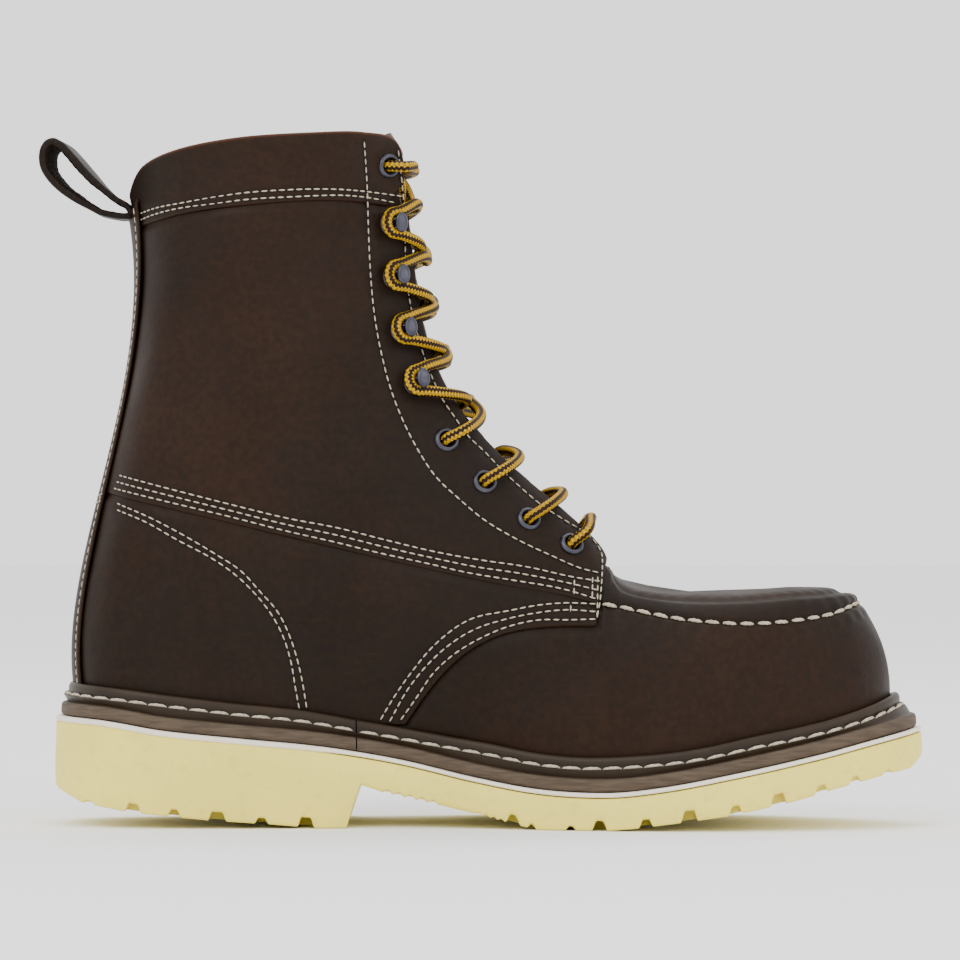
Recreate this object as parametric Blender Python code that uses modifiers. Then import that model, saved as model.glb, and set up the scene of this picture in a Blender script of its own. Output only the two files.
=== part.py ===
"""Steel toe work boot, left foot, US men's 9 (EU 42), 8-inch shaft, moc toe, welted.

Metres, +Z up, +X to the toe, +Y to the wearer's left. The origin is under the middle of the boot, on the floor.
The upper is one form: ribs run from the welt up to the rim (apron seam, facing edge, topline), and every leather
panel is a stretch of that form at its own depth.
"""

import bmesh
import bpy
import math
import numpy as np
from mathutils import Matrix, Vector

# ---- driving sizes, metres ----
SOLE_LENGTH = 0.3076  # heel edge to toe edge of the outsole
BALL_WIDTH = 0.1095  # widest place of the outsole
BOOT_HEIGHT = 0.2438  # floor to the highest place of the topline
MM = 0.001

# ---- leather and layers, depths from the outer face of the upper ----
LEATHER = 0.0020
LAYER_GAP = 0.0004
STAY_THICKNESS = 0.0014
CAP_THICKNESS = 0.0017
LINING_THICKNESS = 0.0012
OVERLAY_THICKNESS = 0.0014

# ---- sole stack ----
MIDSOLE_THICKNESS = 0.0015
WELT_THICKNESS = 0.0043
WELT_INSET = 0.0020
CORK_THICKNESS = 0.0030
BOARD_THICKNESS = 0.0025
FOOTBED_THICKNESS = 0.0050
SHANK_SIZE = (0.105, 0.014, 0.0016)
LUG_DEPTH = 0.0035
LUG_REACH = 0.013
STACK_GAP = 0.00035  # between the layers of the sole

# ---- hardware ----
LACE_DIAMETER = 0.0043
LACE_GAP = 0.0009  # free room round the lace in an eyelet
EYELET_HOLE = LACE_DIAMETER + LACE_GAP
EYELET_WALL = 0.0005
EYELET_FLANGE = EYELET_HOLE + 0.0036
EYELET_RIM = 0.0008
HOOK_BASE = 0.0090
HOOK_HEAD = 0.0062
HOOK_POST = 0.0030
HOOK_GAP = 0.0027  # the lace lies this far off the leather and the hook's head
HOOK_RISE = LACE_DIAMETER + HOOK_GAP
LOOP_WIDTH = 0.019
BACKSTAY_WIDTH = 0.027
BACKSTAY_TOP = 0.2148  # height where the strip ends under the pull loop
SEAT_GAP = 0.0008  # under the flange of an eyelet
SEAM_SHARE = 0.003  # half the gap at a seam, as a share of the rib

# The shapes below are drawn for these sizes and graded to the driving ones.
GRADE_X = SOLE_LENGTH / 0.3076
GRADE_Y = BALL_WIDTH / 0.1095
GRADE_Z = BOOT_HEIGHT / 0.2438
LOOP_HINGE = (-0.1308 * GRADE_X, 0.0, 0.2178 * GRADE_Z)

# Outsole outline seen from above, toe tip round the inner side to the heel and back, mm.
OUTLINE = [
    (157, -8), (153.5, -22), (143, -36), (127, -46), (105, -52.5), (80, -55), (55, -53), (28, -46.5), (0, -38.5),
    (-30, -34), (-60, -35.5), (-90, -37.5), (-118, -36.5), (-138, -27.5), (-147.5, -14.5), (-150.6, 0),
    (-147.5, 15.5), (-138, 29), (-118, 38), (-90, 39.5), (-60, 40), (-28, 43), (5, 49), (35, 54), (62, 54.5),
    (90, 49), (117, 37), (139, 20.5), (152.5, 5.5),
]
HEEL_POINT = 15

# Heights along the boot, (x, z) mm: where the upper meets the welt, underside of the welt, underside of the sole.
FEATHER = [
    (-142, 50.3), (-124, 48.5), (-105, 46), (-86, 43.7), (-61, 41), (-42, 37.6), (-28, 35.2), (-12, 32.4), (5, 29.6),
    (21, 26.6), (37, 25.3), (52, 25.8), (77, 28.7), (94, 32.5), (120, 38), (137, 43.3), (146, 47),
]
DATUM = [
    (-151, 38.6), (-133, 37.6), (-111, 34.2), (-83, 31.3), (-56, 28.6), (-28, 24), (0, 17.6), (18, 14.4), (35, 13.1),
    (49, 13.3), (63, 15), (90, 20.1), (119, 26.4), (141, 31.7), (157, 35),
]
TREAD = [
    (-151, 13.5), (-146, 11.5), (-140, 8.6), (-122, 5.6), (-94, 2.9), (-72, 1.4), (-56, 0), (-46.5, 0), (-41.3, 15.2),
    (-33, 12.4), (-13, 8), (-2, 5.5), (10, 2.5), (20, 0), (45, 0), (55, 1), (69, 2.9), (88, 5.6), (109, 10.1),
    (124, 14.4), (141.5, 18.7), (152, 20.6), (157, 24.5),
]

# The ribs of the upper from toe to heel, for one side, mm. Each is a Bezier curve: it starts at the feather line
# inside the outline point at foot x, leaves through P1 (bulge out, z), comes in through P2 (x, half width, z) and
# ends at the rim (x, half width, z).
RIBS = [
    (157.0, (1.3, 60), (139.5, 0.0, 75.0), (131.5, 0.0, 82.2)),
    (151.5, (1.5, 60), (137.0, 12.5, 75.0), (129.5, 10.0, 82.1)),
    (140.0, (2.0, 58), (129.0, 24.0, 76.0), (122.5, 18.5, 81.6)),
    (120.0, (2.5, 55), (113.5, 32.5, 76.0), (109.0, 25.8, 80.8)),
    (95.0, (3.5, 51), (93.0, 39.5, 75.5), (90.0, 30.0, 79.4)),
    (70.0, (4.0, 50), (70.0, 42.5, 74.5), (70.0, 31.5, 79.6)),
    (53.0, (4.0, 50), (54.0, 43.5, 76.0), (53.5, 30.8, 82.0)),
    (43.0, (4.0, 52), (45.5, 43.0, 80.0), (47.5, 27.0, 86.5)),
    (32.0, (5.0, 55), (41.0, 45.0, 88.0), (43.5, 21.5, 98.5)),
    (16.0, (7.0, 60), (26.0, 46.0, 96.0), (31.0, 19.8, 111.0)),
    (0.0, (11.0, 64), (8.0, 45.0, 112.0), (10.0, 19.0, 129.0)),
    (-20.0, (12.0, 70), (-12.0, 42.0, 132.0), (-8.5, 18.5, 150.5)),
    (-40.0, (11.0, 78), (-28.0, 38.5, 152.0), (-18.0, 18.2, 172.0)),
    (-57.0, (10.0, 88), (-41.0, 35.0, 180.0), (-22.5, 18.0, 197.0)),
    (-72.0, (8.0, 95), (-49.0, 36.0, 195.0), (-25.5, 18.5, 222.0)),
    (-86.0, (7.0, 100), (-56.0, 39.0, 198.0), (-28.0, 20.5, 240.5)),
    (-98.0, (6.0, 100), (-66.0, 39.0, 196.0), (-40.0, 33.5, 243.8)),
    (-110.0, (6.0, 98), (-80.0, 38.5, 192.0), (-58.0, 38.8, 243.5)),
    (-122.0, (6.0, 96), (-94.0, 35.5, 188.0), (-84.0, 38.6, 241.8)),
    (-134.0, (6.5, 95), (-103.0, 28.0, 176.0), (-106.0, 31.5, 238.0)),
    (-144.5, (7.2, 95), (-107.5, 16.5, 165.0), (-119.5, 17.0, 232.5)),
    (-150.6, (7.8, 95), (-109.0, 0.0, 160.0), (-124.6, 0.0, 223.5)),
]
HEEL = len(RIBS) - 1
ROUND = 2 * HEEL
THROAT = 8.0
TOP_CORNER = 15.0

# Panel edges seen from the side, (x, z) mm.
WING_EDGE = [(-26, 35.6), (-19, 46), (-13, 53.5), (-5, 61), (4.5, 66.5), (13.6, 69.3), (24, 70.7), (46, 71.2)]
SHAFT_SEAM = [(-150, 122), (-130, 117), (-90, 107.5), (-49, 97.8), (-17, 90.5), (10, 85), (31, 81.4), (46, 77.5)]
COLLAR_SEAM = [(-130, 209), (-124, 210.6), (-104, 215.2), (-81, 218), (-40, 219.2), (-20, 216.5)]
STAY_LINE = [(-41, 245), (-40, 229), (-39, 215), (-37, 192), (-34.5, 174), (-31, 160), (-26, 150), (-17, 137),
             (-7, 126), (8, 112), (20, 104), (33, 98)]
COUNTER_LINE = [(-150, 112), (-128, 110), (-110, 102), (-92, 90), (-79, 78), (-70, 62), (-62, 44)]

# Where the hardware sits on the form, seen from the side, (x, z) mm.
EYELET_SPOTS = [(-31.7, 232.6), (-11.3, 136.1), (2.1, 121.4), (17.6, 108.4), (32.6, 99.6)]
HOOK_SPOTS = [(-30.8, 212.2), (-29.8, 193.5), (-27.0, 174.5), (-22.2, 156.0)]


# ---------------------------------------------------------------- curves and the form of the upper
def spline(knots, values, at):
    """A smooth cubic curve through values at knots, read at the places in at."""
    knots = np.asarray(knots, float)
    values = np.asarray(values, float)
    at = np.asarray(at, float)
    slopes = np.gradient(values, knots, axis=0)
    low = np.clip(np.searchsorted(knots, at, side="right") - 1, 0, len(knots) - 2)
    width = knots[low + 1] - knots[low]
    t = (at - knots[low]) / width
    if values.ndim > 1:
        t = t[..., None]
        width = width[..., None]
    start = (2 * t**3 - 3 * t**2 + 1) * values[low] + (t**3 - 2 * t**2 + t) * width * slopes[low]
    return start + (3 * t**2 - 2 * t**3) * values[low + 1] + (t**3 - t**2) * width * slopes[low + 1]


def height_line(points):
    """A function giving the graded height at a graded x along a side-view line."""
    table = np.array(points, float)

    def height(x):
        drawn = np.clip(np.asarray(x) / GRADE_X / MM, table[0, 0], table[-1, 0])
        return spline(table[:, 0], table[:, 1], drawn) * GRADE_Z * MM

    return height


feather_z = height_line(FEATHER)
datum_z = height_line(DATUM)


def tread_z(x):
    """Underside of the sole. Straight between its points, so the heel breast stays crisp."""
    table = np.array(TREAD, float)
    return np.interp(np.asarray(x) / GRADE_X / MM, table[:, 0], table[:, 1]) * GRADE_Z * MM


def closed_points(points):
    """The outline's points with their running length, repeated round the ends for a closed curve."""
    table = np.array(points, float) * (GRADE_X * MM, GRADE_Y * MM)
    step = np.hypot(*(np.roll(table, -1, axis=0) - table).T)
    run = np.concatenate([[0], np.cumsum(step)])
    total = run[-1]
    wrap = 4
    knots = np.concatenate([run[-1 - wrap:-1] - total, run[:-1], run[:wrap + 1] + total])
    rows = np.concatenate([table[-wrap:], table, table[:wrap + 1]])
    return knots, rows, run


OUT_KNOTS, OUT_ROWS, OUT_RUN = closed_points(OUTLINE)
OUT_TOTAL = OUT_RUN[-1]


def outline(run, inset=0.0):
    """Points of the outsole outline at a running length, moved inward by inset."""
    run = np.asarray(run, float) % OUT_TOTAL
    point = spline(OUT_KNOTS, OUT_ROWS, run)
    ahead = spline(OUT_KNOTS, OUT_ROWS, run + 0.0005)
    behind = spline(OUT_KNOTS, OUT_ROWS, run - 0.0005)
    along = ahead - behind
    along /= np.linalg.norm(along, axis=-1, keepdims=True)
    outward = np.stack([-along[..., 1], along[..., 0]], axis=-1)
    return point - outward * inset, outward


def rib_feet():
    """Running length of the outline at every rib, inner side then outer side."""
    fine = np.linspace(0, OUT_RUN[HEEL_POINT], 600)
    inner_x = outline(fine)[0][:, 0]
    outer = np.linspace(OUT_RUN[HEEL_POINT], OUT_TOTAL, 600)
    outer_x = spline(OUT_KNOTS, OUT_ROWS, outer)[:, 0]
    feet = [0.0]
    for rib in RIBS[1:-1]:
        feet.append(float(np.interp(-rib[0] * GRADE_X * MM, -inner_x, fine)))
    feet.append(OUT_RUN[HEEL_POINT])
    for rib in RIBS[-2:0:-1]:
        feet.append(float(np.interp(rib[0] * GRADE_X * MM, outer_x, outer)))
    return feet


def centre_line(x):
    """The toe turns to the inner side: the y of the upper's middle at x."""
    t = np.clip((x / (GRADE_X * MM) - 30) / 100, 0, 1)
    return -8 * (3 * t**2 - 2 * t**3) * GRADE_Y * MM


def form_tables():
    """The control rows of the form for one turn round the boot, padded at both ends."""
    feet = rib_feet()
    order = list(range(HEEL + 1)) + list(range(HEEL - 1, 0, -1))
    rows = []
    for place, number in enumerate(order):
        _, (bulge, rise), (px, pw, pz), (rx, rw, rz) = RIBS[number]
        side = -1 if place <= HEEL else 1
        rows.append([feet[place], bulge * MM, rise * GRADE_Z * MM,
                     px * GRADE_X * MM, side * pw * GRADE_Y * MM, pz * GRADE_Z * MM,
                     rx * GRADE_X * MM, side * rw * GRADE_Y * MM, rz * GRADE_Z * MM])
    rows = np.array(rows)
    pad = 4
    before = rows[-pad:].copy()
    before[:, 0] -= OUT_TOTAL
    after = rows[:pad + 1].copy()
    after[:, 0] += OUT_TOTAL
    knots = np.arange(-pad, ROUND + pad + 1)
    return knots, np.concatenate([before, rows, after])


FORM_KNOTS, FORM_ROWS = form_tables()
FOOT_TUCK = 0.0035
SIDE_INSET = 0.0083
TOE_INSET = 0.0032


def ribs_at(u):
    """The four control points of the ribs at u."""
    row = spline(FORM_KNOTS, FORM_ROWS, np.asarray(u) % ROUND)
    edge, outward = outline(row[..., 0])
    inset = SIDE_INSET + TOE_INSET * np.clip(outward[..., 0], 0, 1) ** 2
    foot = edge - outward * inset[..., None]
    foot_z = feather_z(foot[..., 0]) - FOOT_TUCK
    p1 = foot + outward * row[..., 1:2]
    middle = centre_line(row[..., 3])
    splay = 0.35 * (np.abs(foot[..., 1] - middle) - np.abs(row[..., 4])) * np.sign(row[..., 4])
    outer = row[..., 4] > 0
    p2y = row[..., 4] + middle + np.where(outer, np.clip(splay, 0, 0.0035), 0)
    ry = row[..., 7] + centre_line(row[..., 6])
    return (np.stack([foot[..., 0], foot[..., 1], foot_z], -1),
            np.stack([p1[..., 0], p1[..., 1], row[..., 2]], -1),
            np.stack([row[..., 3], p2y, row[..., 5]], -1),
            np.stack([row[..., 6], ry, row[..., 8]], -1))


def face(u, v):
    """Points of the outer face of the upper: u round the boot, v up the rib."""
    p0, p1, p2, p3 = ribs_at(u)
    v = np.asarray(v)[..., None]
    w = 1 - v
    return w**3 * p0 + 3 * w**2 * v * p1 + 3 * w * v**2 * p2 + v**3 * p3


def unit(vectors):
    return vectors / np.maximum(np.linalg.norm(vectors, axis=-1, keepdims=True), 1e-12)


def outward_normal(u, v):
    step = 0.02
    low = np.clip(v - step, 0, 1)
    high = np.clip(v + step, 0, 1)
    along = face(u + step, v) - face(u - step, v)
    up = face(u, high) - face(u, low)
    return unit(np.cross(up, along))


SPINE_REAR = 46.0


def spine(u):
    """The apron's middle line, which the strips from the rim run to."""
    turn = np.asarray(u) % ROUND
    turn = np.minimum(turn, ROUND - turn)
    x = np.interp(turn, [0, 2.6, THROAT - 0.6], [109, 103, 50])
    z = np.interp(x, [SPINE_REAR, 60, 75, 100, 112], [86.5, 83.4, 81.4, 82.4, 83.2])
    x = x * GRADE_X * MM
    return np.stack([x, centre_line(x), z * GRADE_Z * MM], -1)


def crown(u, w, drop=0.0):
    """Points of the apron's face: w from the rim (0) to the middle line (1)."""
    rim = ribs_at(u)[3]
    middle = spine(u)
    w = np.asarray(w)[..., None]
    flat = rim + (middle - rim) * w
    rise = 1 - (1 - w) ** 2
    height = rim[..., 2:] + (middle[..., 2:] - rim[..., 2:]) * rise - drop
    return np.concatenate([flat[..., :2], height], -1)


def shell(u, v, depth, mitre=True):
    """The form at a depth under its face. Round the toe the rim is mitred into the apron."""
    normal = outward_normal(u, v)
    point = face(u, v)
    if not mitre:
        return point - normal * depth
    turn = np.asarray(u) % ROUND
    turn = np.minimum(turn, ROUND - turn)
    share = np.clip((THROAT - 1.0 - turn) / 1.0, 0, 1) * np.clip((v - 0.75) / 0.25, 0, 1) ** 2
    inward = unit(spine(u) - ribs_at(u)[3])
    inward[..., 2] = -0.75
    mixed = unit(normal * (1 - share[..., None]) - unit(inward) * share[..., None])
    return point - mixed * depth * (1 + 0.12 * share[..., None])


def crossing(u, line, low=0.0, high=1.0):
    """v where each rib crosses a side-view line given as a height function."""
    v = np.linspace(low, high, 121)
    grid_u, grid_v = np.meshgrid(u, v, indexing="ij")
    points = face(grid_u, grid_v)
    above = points[..., 2] - line(points[..., 0])
    result = []
    for row in above:
        below = np.nonzero(row < 0)[0]
        if len(below) == 0:
            result.append(low)
        elif below[-1] == len(v) - 1:
            result.append(high)
        else:
            k = below[-1]
            result.append(v[k] + (v[k + 1] - v[k]) * row[k] / (row[k] - row[k + 1]))
    return np.array(result)


def spot(x, z, side):
    """u and v of the place on the form that shows at (x, z) mm from the side. side is -1 inner, 1 outer."""
    u = np.linspace(THROAT - 0.3, TOP_CORNER + 1, 500)
    v = np.linspace(0.6, 1, 160)
    grid_u, grid_v = np.meshgrid(u, v, indexing="ij")
    points = face(grid_u, grid_v)
    miss = np.hypot(points[..., 0] - x * GRADE_X * MM, points[..., 2] - z * GRADE_Z * MM)
    i, j = np.unravel_index(np.argmin(miss), miss.shape)
    return (u[i] if side < 0 else ROUND - u[i]), v[j]


# ---------------------------------------------------------------- mesh helpers
def material(name, colour, roughness, metallic=0.0):
    mat = bpy.data.materials.new(name)
    mat.use_nodes = True
    shader = mat.node_tree.nodes["Principled BSDF"]
    shader.inputs["Base Color"].default_value = (*colour, 1)
    shader.inputs["Roughness"].default_value = roughness
    shader.inputs["Metallic"].default_value = metallic
    return mat


def clear_scene():
    for obj in list(bpy.data.objects):
        bpy.data.objects.remove(obj)


def collection(name):
    made = bpy.data.collections.new(name)
    bpy.context.scene.collection.children.link(made)
    return made


clear_scene()
BOOT = collection("steel_toe_work_boot")
CUTTERS = collection("cutters")
PAINT = {
    "leather": material("leather", (0.040, 0.028, 0.021), 0.55),
    "welt": material("welt", (0.085, 0.060, 0.040), 0.5),
    "midsole": material("midsole", (0.78, 0.72, 0.62), 0.7),
    "rubber": material("rubber", (0.74, 0.66, 0.36), 0.6),
    "board": material("board", (0.45, 0.33, 0.20), 0.9),
    "cork": material("cork", (0.38, 0.22, 0.11), 0.95),
    "foam": material("foam", (0.05, 0.05, 0.05), 0.9),
    "steel": material("steel", (0.55, 0.56, 0.58), 0.3, 1.0),
    "lining": material("lining", (0.30, 0.20, 0.13), 0.8),
    "gunmetal": material("gunmetal", (0.16, 0.16, 0.18), 0.35, 1.0),
    "lace": material("lace", (0.70, 0.48, 0.06), 0.8),
}


def add(name, mesh, paint, home=None):
    """An object from a bmesh, in the boot's collection."""
    bmesh.ops.recalc_face_normals(mesh, faces=mesh.faces)
    data = bpy.data.meshes.new(name)
    mesh.to_mesh(data)
    mesh.free()
    obj = bpy.data.objects.new(name, data)
    (home or BOOT).objects.link(obj)
    data.materials.append(PAINT[paint])
    return obj


def strip(mesh, first, second, wrap=False):
    """Quads between two rows of vertices."""
    count = len(first)
    for j in range(count if wrap else count - 1):
        k = (j + 1) % count
        mesh.faces.new((first[j], first[k], second[k], second[j]))


def surface(mesh, rows, wrap=False):
    """A grid of quads through rows of points. Returns its vertices."""
    verts = [[mesh.verts.new(p) for p in row] for row in rows]
    for first, second in zip(verts, verts[1:] + (verts[:1] if wrap else [])):
        strip(mesh, first, second)
    return verts


def weld(mesh):
    bmesh.ops.remove_doubles(mesh, verts=mesh.verts, dist=1e-6)
    bmesh.ops.dissolve_degenerate(mesh, edges=mesh.edges, dist=1e-7)


def plate(outer, inner, closed=False, folded=False):
    """A closed solid between two grids of points of one shape. closed joins the last row to the first, and
    folded says that the last row is folded onto itself, as an arch is at the tip of the toe."""
    mesh = bmesh.new()
    top = surface(mesh, outer, closed)
    bottom = surface(mesh, inner, closed)
    for column in (0, -1):
        strip(mesh, [row[column] for row in top], [row[column] for row in bottom], closed)
    if not closed:
        strip(mesh, top[0], bottom[0])
        if not folded:
            strip(mesh, top[-1], bottom[-1])
    weld(mesh)
    return mesh


def panel(name, paint, u, low, high, depth, steps, mitre=True, closed=False):
    """A leather panel: over the ribs at u from v low to high, between two depths."""
    share = np.linspace(0, 1, steps)
    grid_v = low[:, None] + (high - low)[:, None] * share[None, :]
    grid_u = np.repeat(u[:, None], steps, axis=1)
    outer = shell(grid_u, grid_v, depth[0], mitre)
    inner = shell(grid_u, grid_v, depth[1], mitre)
    return add(name, plate(outer, inner, closed), paint)


def cut(obj, cutter):
    change = obj.modifiers.new("holes", "BOOLEAN")
    change.object = cutter
    change.operation = "DIFFERENCE"


def side_u(start, end, side, count):
    """Rib places from the toe towards the heel on one side."""
    u = np.linspace(start, end, count)
    return u if side < 0 else ROUND - u



# ---------------------------------------------------------------- sole
def edges_at(x, inset):
    """y of the inner and the outer edge of the outline, moved in by inset, at the places x."""
    inner = outline(np.linspace(0, OUT_RUN[HEEL_POINT], 500), inset)[0]
    outer = outline(np.linspace(OUT_RUN[HEEL_POINT], OUT_TOTAL, 500), inset)[0]
    return (np.interp(-x, -inner[:, 0], inner[:, 1]), np.interp(x, outer[:, 0], outer[:, 1]))


def stations(rear, front, count, extra=()):
    """Places along the boot, closer together towards the round ends."""
    turn = np.linspace(0, math.pi, count)
    x = (rear + front) / 2 - (front - rear) / 2 * np.cos(turn)
    return np.unique(np.concatenate([x, np.array(extra, float)]))


def slab(name, paint, inset, top, bottom, count, across=5, front=None, extra=()):
    """A layer of the sole between two heights, inside the outline moved in by inset."""
    tips = outline(np.array([0.0, OUT_RUN[HEEL_POINT]]), inset)[0]
    x = stations(tips[1, 0] + 0.0004, (front or tips[0, 0]) - 0.0004, count, extra)
    inner, outer = edges_at(x, inset)
    share = np.linspace(0, 1, across)
    y = inner[:, None] + (outer - inner)[:, None] * share
    grid_x = np.repeat(x[:, None], across, axis=1)
    high = np.stack([grid_x, y, np.broadcast_to(top(x)[:, None], y.shape)], -1)
    low = np.stack([grid_x, y, np.broadcast_to(bottom(x)[:, None], y.shape)], -1)
    return add(name, plate(high, low), paint)


LUGS = [(-121, 4), (-106.5, 3), (-91.5, 4.5), (-76, 3), (-60.5, 4), (12, 3.5), (42, 4), (58, 3.5), (73, 4.5),
        (89, 3.5), (104, 4.5), (119, 3.5), (131, 3.5)]


def lug_cutters():
    """Bars across both edges of the tread, one for each gap between lugs."""
    mesh = bmesh.new()
    for x, width in LUGS:
        x = x * GRADE_X * MM
        for side, edge in zip((-1, 1), edges_at(np.array([x]), 0.0)):
            bar = bmesh.ops.create_cube(mesh, size=1.0)["verts"]
            bmesh.ops.scale(mesh, vec=(width * MM, 2 * LUG_REACH, 2 * LUG_DEPTH), verts=bar)
            bmesh.ops.translate(mesh, vec=(x, edge[0], tread_z(x)), verts=bar)
    cutter = add("lug_gaps", mesh, "rubber", CUTTERS)
    cutter.hide_render = True
    cutter.display_type = "WIRE"
    return cutter


def make_outsole():
    breast = np.array([-46.5, -41.3, -33, -56, 0, 20, 45]) * GRADE_X * MM
    sole = slab("outsole", "rubber", 0.0, lambda x: datum_z(x) - MIDSOLE_THICKNESS - STACK_GAP, tread_z, 36, 5,
                extra=breast)
    cut(sole, lug_cutters())


def make_stack():
    slab("midsole", "midsole", 0.0007, datum_z, lambda x: datum_z(x) - MIDSOLE_THICKNESS, 26, 3)
    low = STACK_GAP
    inset = SIDE_INSET + TOE_INSET + 0.0007
    cork = slab("cork_filler", "cork", inset, lambda x: datum_z(x) + low + CORK_THICKNESS,
                lambda x: datum_z(x) + low, 18, 3)
    pocket = shank_strip("shank_pocket", 0.0004, CUTTERS)
    pocket.hide_render = True
    pocket.display_type = "WIRE"
    cut(cork, pocket)
    shank_strip("shank", 0.0, BOOT)
    board = low + CORK_THICKNESS + STACK_GAP
    slab("insole_board", "board", inset, lambda x: datum_z(x) + board + BOARD_THICKNESS,
         lambda x: datum_z(x) + board, 20, 3)
    bed = board + BOARD_THICKNESS + 2 * STACK_GAP
    wall = LEATHER + 2 * LAYER_GAP + CAP_THICKNESS + 0.0006 + LINING_THICKNESS + 0.0008
    front = outline(np.array([0.0]), SIDE_INSET + TOE_INSET + wall + 0.004)[0][0, 0]
    slab("footbed", "foam", SIDE_INSET + wall + 0.0018, lambda x: datum_z(x) + bed + FOOTBED_THICKNESS,
         lambda x: datum_z(x) + bed, 22, 5, front=front)


def shank_strip(name, grow, home):
    """The steel strip under the waist, or its pocket when grown."""
    length, width, thick = SHANK_SIZE
    x = np.linspace(-0.085 * GRADE_X - grow, -0.085 * GRADE_X + length + grow, 12)
    y = np.array([-1, 1]) * (width / 2 + grow)
    grid_x, grid_y = np.meshgrid(x, y, indexing="ij")
    low = datum_z(grid_x) + STACK_GAP + 0.0006 - grow
    high = low + thick + 2 * grow
    if home is CUTTERS:
        low = low - 0.002
    return add(name, plate(np.stack([grid_x, grid_y, high], -1), np.stack([grid_x, grid_y, low], -1)), "steel",
               home)


def make_welt():
    """The storm welt, one strip from its joint at the inner waist all the way round."""
    joint = 12.15
    u = np.linspace(joint + 0.02, joint - 0.02 + ROUND, 64)
    foot = ribs_at(u)[0]
    row = spline(FORM_KNOTS, FORM_ROWS, u % ROUND)
    edge, outward = outline(row[:, 0])
    inset = SIDE_INSET + TOE_INSET * np.clip(outward[:, 0], 0, 1) ** 2
    reach = inset - WELT_INSET
    v_top = crossing(u, lambda x: feather_z(x) - 0.0006, 0.0, 0.2)
    inner_top = face(u, v_top) + outward_normal(u, v_top) * LAYER_GAP

    def at(out, z):
        plan = foot[:, :2] + outward * (np.zeros(len(u)) + out)[:, None]
        return np.stack([plan[:, 0], plan[:, 1], np.zeros(len(u)) + z], -1)

    base = datum_z(at(reach, 0)[:, 0]) + STACK_GAP
    ridge = feather_z(foot[:, 0])
    top = inner_top.copy()
    section = [
        at(0.0005, datum_z(foot[:, 0]) + STACK_GAP), at(reach, base), at(reach, base + WELT_THICKNESS),
        at(reach - 0.0022, base + WELT_THICKNESS + 0.0006), at(0.0036, ridge - 0.0036), at(0.0034, ridge - 0.0014),
        at(0.0022, ridge), top, at(0.0005, foot[:, 2]),
    ]
    mesh = bmesh.new()
    verts = surface(mesh, np.stack(section, 1))
    strip(mesh, [r[-1] for r in verts], [r[0] for r in verts])
    mesh.faces.new(verts[0])
    mesh.faces.new(verts[-1])
    add("welt", mesh, "welt")


# ---------------------------------------------------------------- upper
FRONT_EDGE = 7.66
BACK_SEAM = 0.03


def make_vamp():
    turn = np.concatenate([np.linspace(0, 4, 8), np.linspace(4.8, FRONT_EDGE - 0.05, 5),
                           np.linspace(FRONT_EDGE - 0.03, 11.5, 7)])
    wing = crossing(turn, height_line(WING_EDGE))
    high = np.where(turn < FRONT_EDGE - 0.04, 1.0, np.minimum(wing, 1.0))
    u = np.concatenate([-turn[:0:-1], turn])
    high = np.concatenate([high[:0:-1], high])
    panel("vamp", "leather", u, np.zeros(len(u)), high, (0.0, LEATHER), 7)


def arch_rows(turn, v, w, depth, extra):
    """Rows over the toe from the inner side to the outer, at a depth under the upper's face."""
    rows = []
    for t in turn:
        half = []
        for u in (t, -t):
            low = shell(np.full(len(v), u), v, depth) if len(v) else np.zeros((0, 3))
            reach = np.linalg.norm(spine(u) - ribs_at(u)[3])
            start = min((depth + extra) / max(reach, 1e-6), 0.9)
            high = crown(np.full(len(w), u), start + (1 - start) * w, depth)
            half.append(np.concatenate([low, high]))
        rows.append(np.concatenate([half[0], half[1][-2::-1]]))
    return rows


def make_apron():
    turn = np.concatenate([np.linspace(6.9, 3, 9), np.linspace(2.5, 0, 6)])
    w = np.array([0.0, 0.25, 0.6, 1.0])
    top = arch_rows(turn, np.zeros(0), w, 0.0003, LEATHER + LAYER_GAP)
    low = arch_rows(turn, np.zeros(0), w, 0.0003 + LEATHER, LAYER_GAP + 0.0003)
    add("apron", plate(top, low, folded=True), "leather")


def make_toe_cap():
    turn = np.concatenate([np.linspace(5.3, 3, 5), np.linspace(2.4, 0, 5)])
    v = np.linspace(0.04, 0.93, 5)
    w = np.array([0.0, 0.5, 1.0])
    depth = LEATHER + LAYER_GAP
    top = arch_rows(turn, v, w, depth + 0.0004, 0.0022)
    low = arch_rows(turn, v, w, depth + 0.0004 + CAP_THICKNESS, 0.0018)
    add("steel_toe_cap", plate(top, low, folded=True), "steel")


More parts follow.
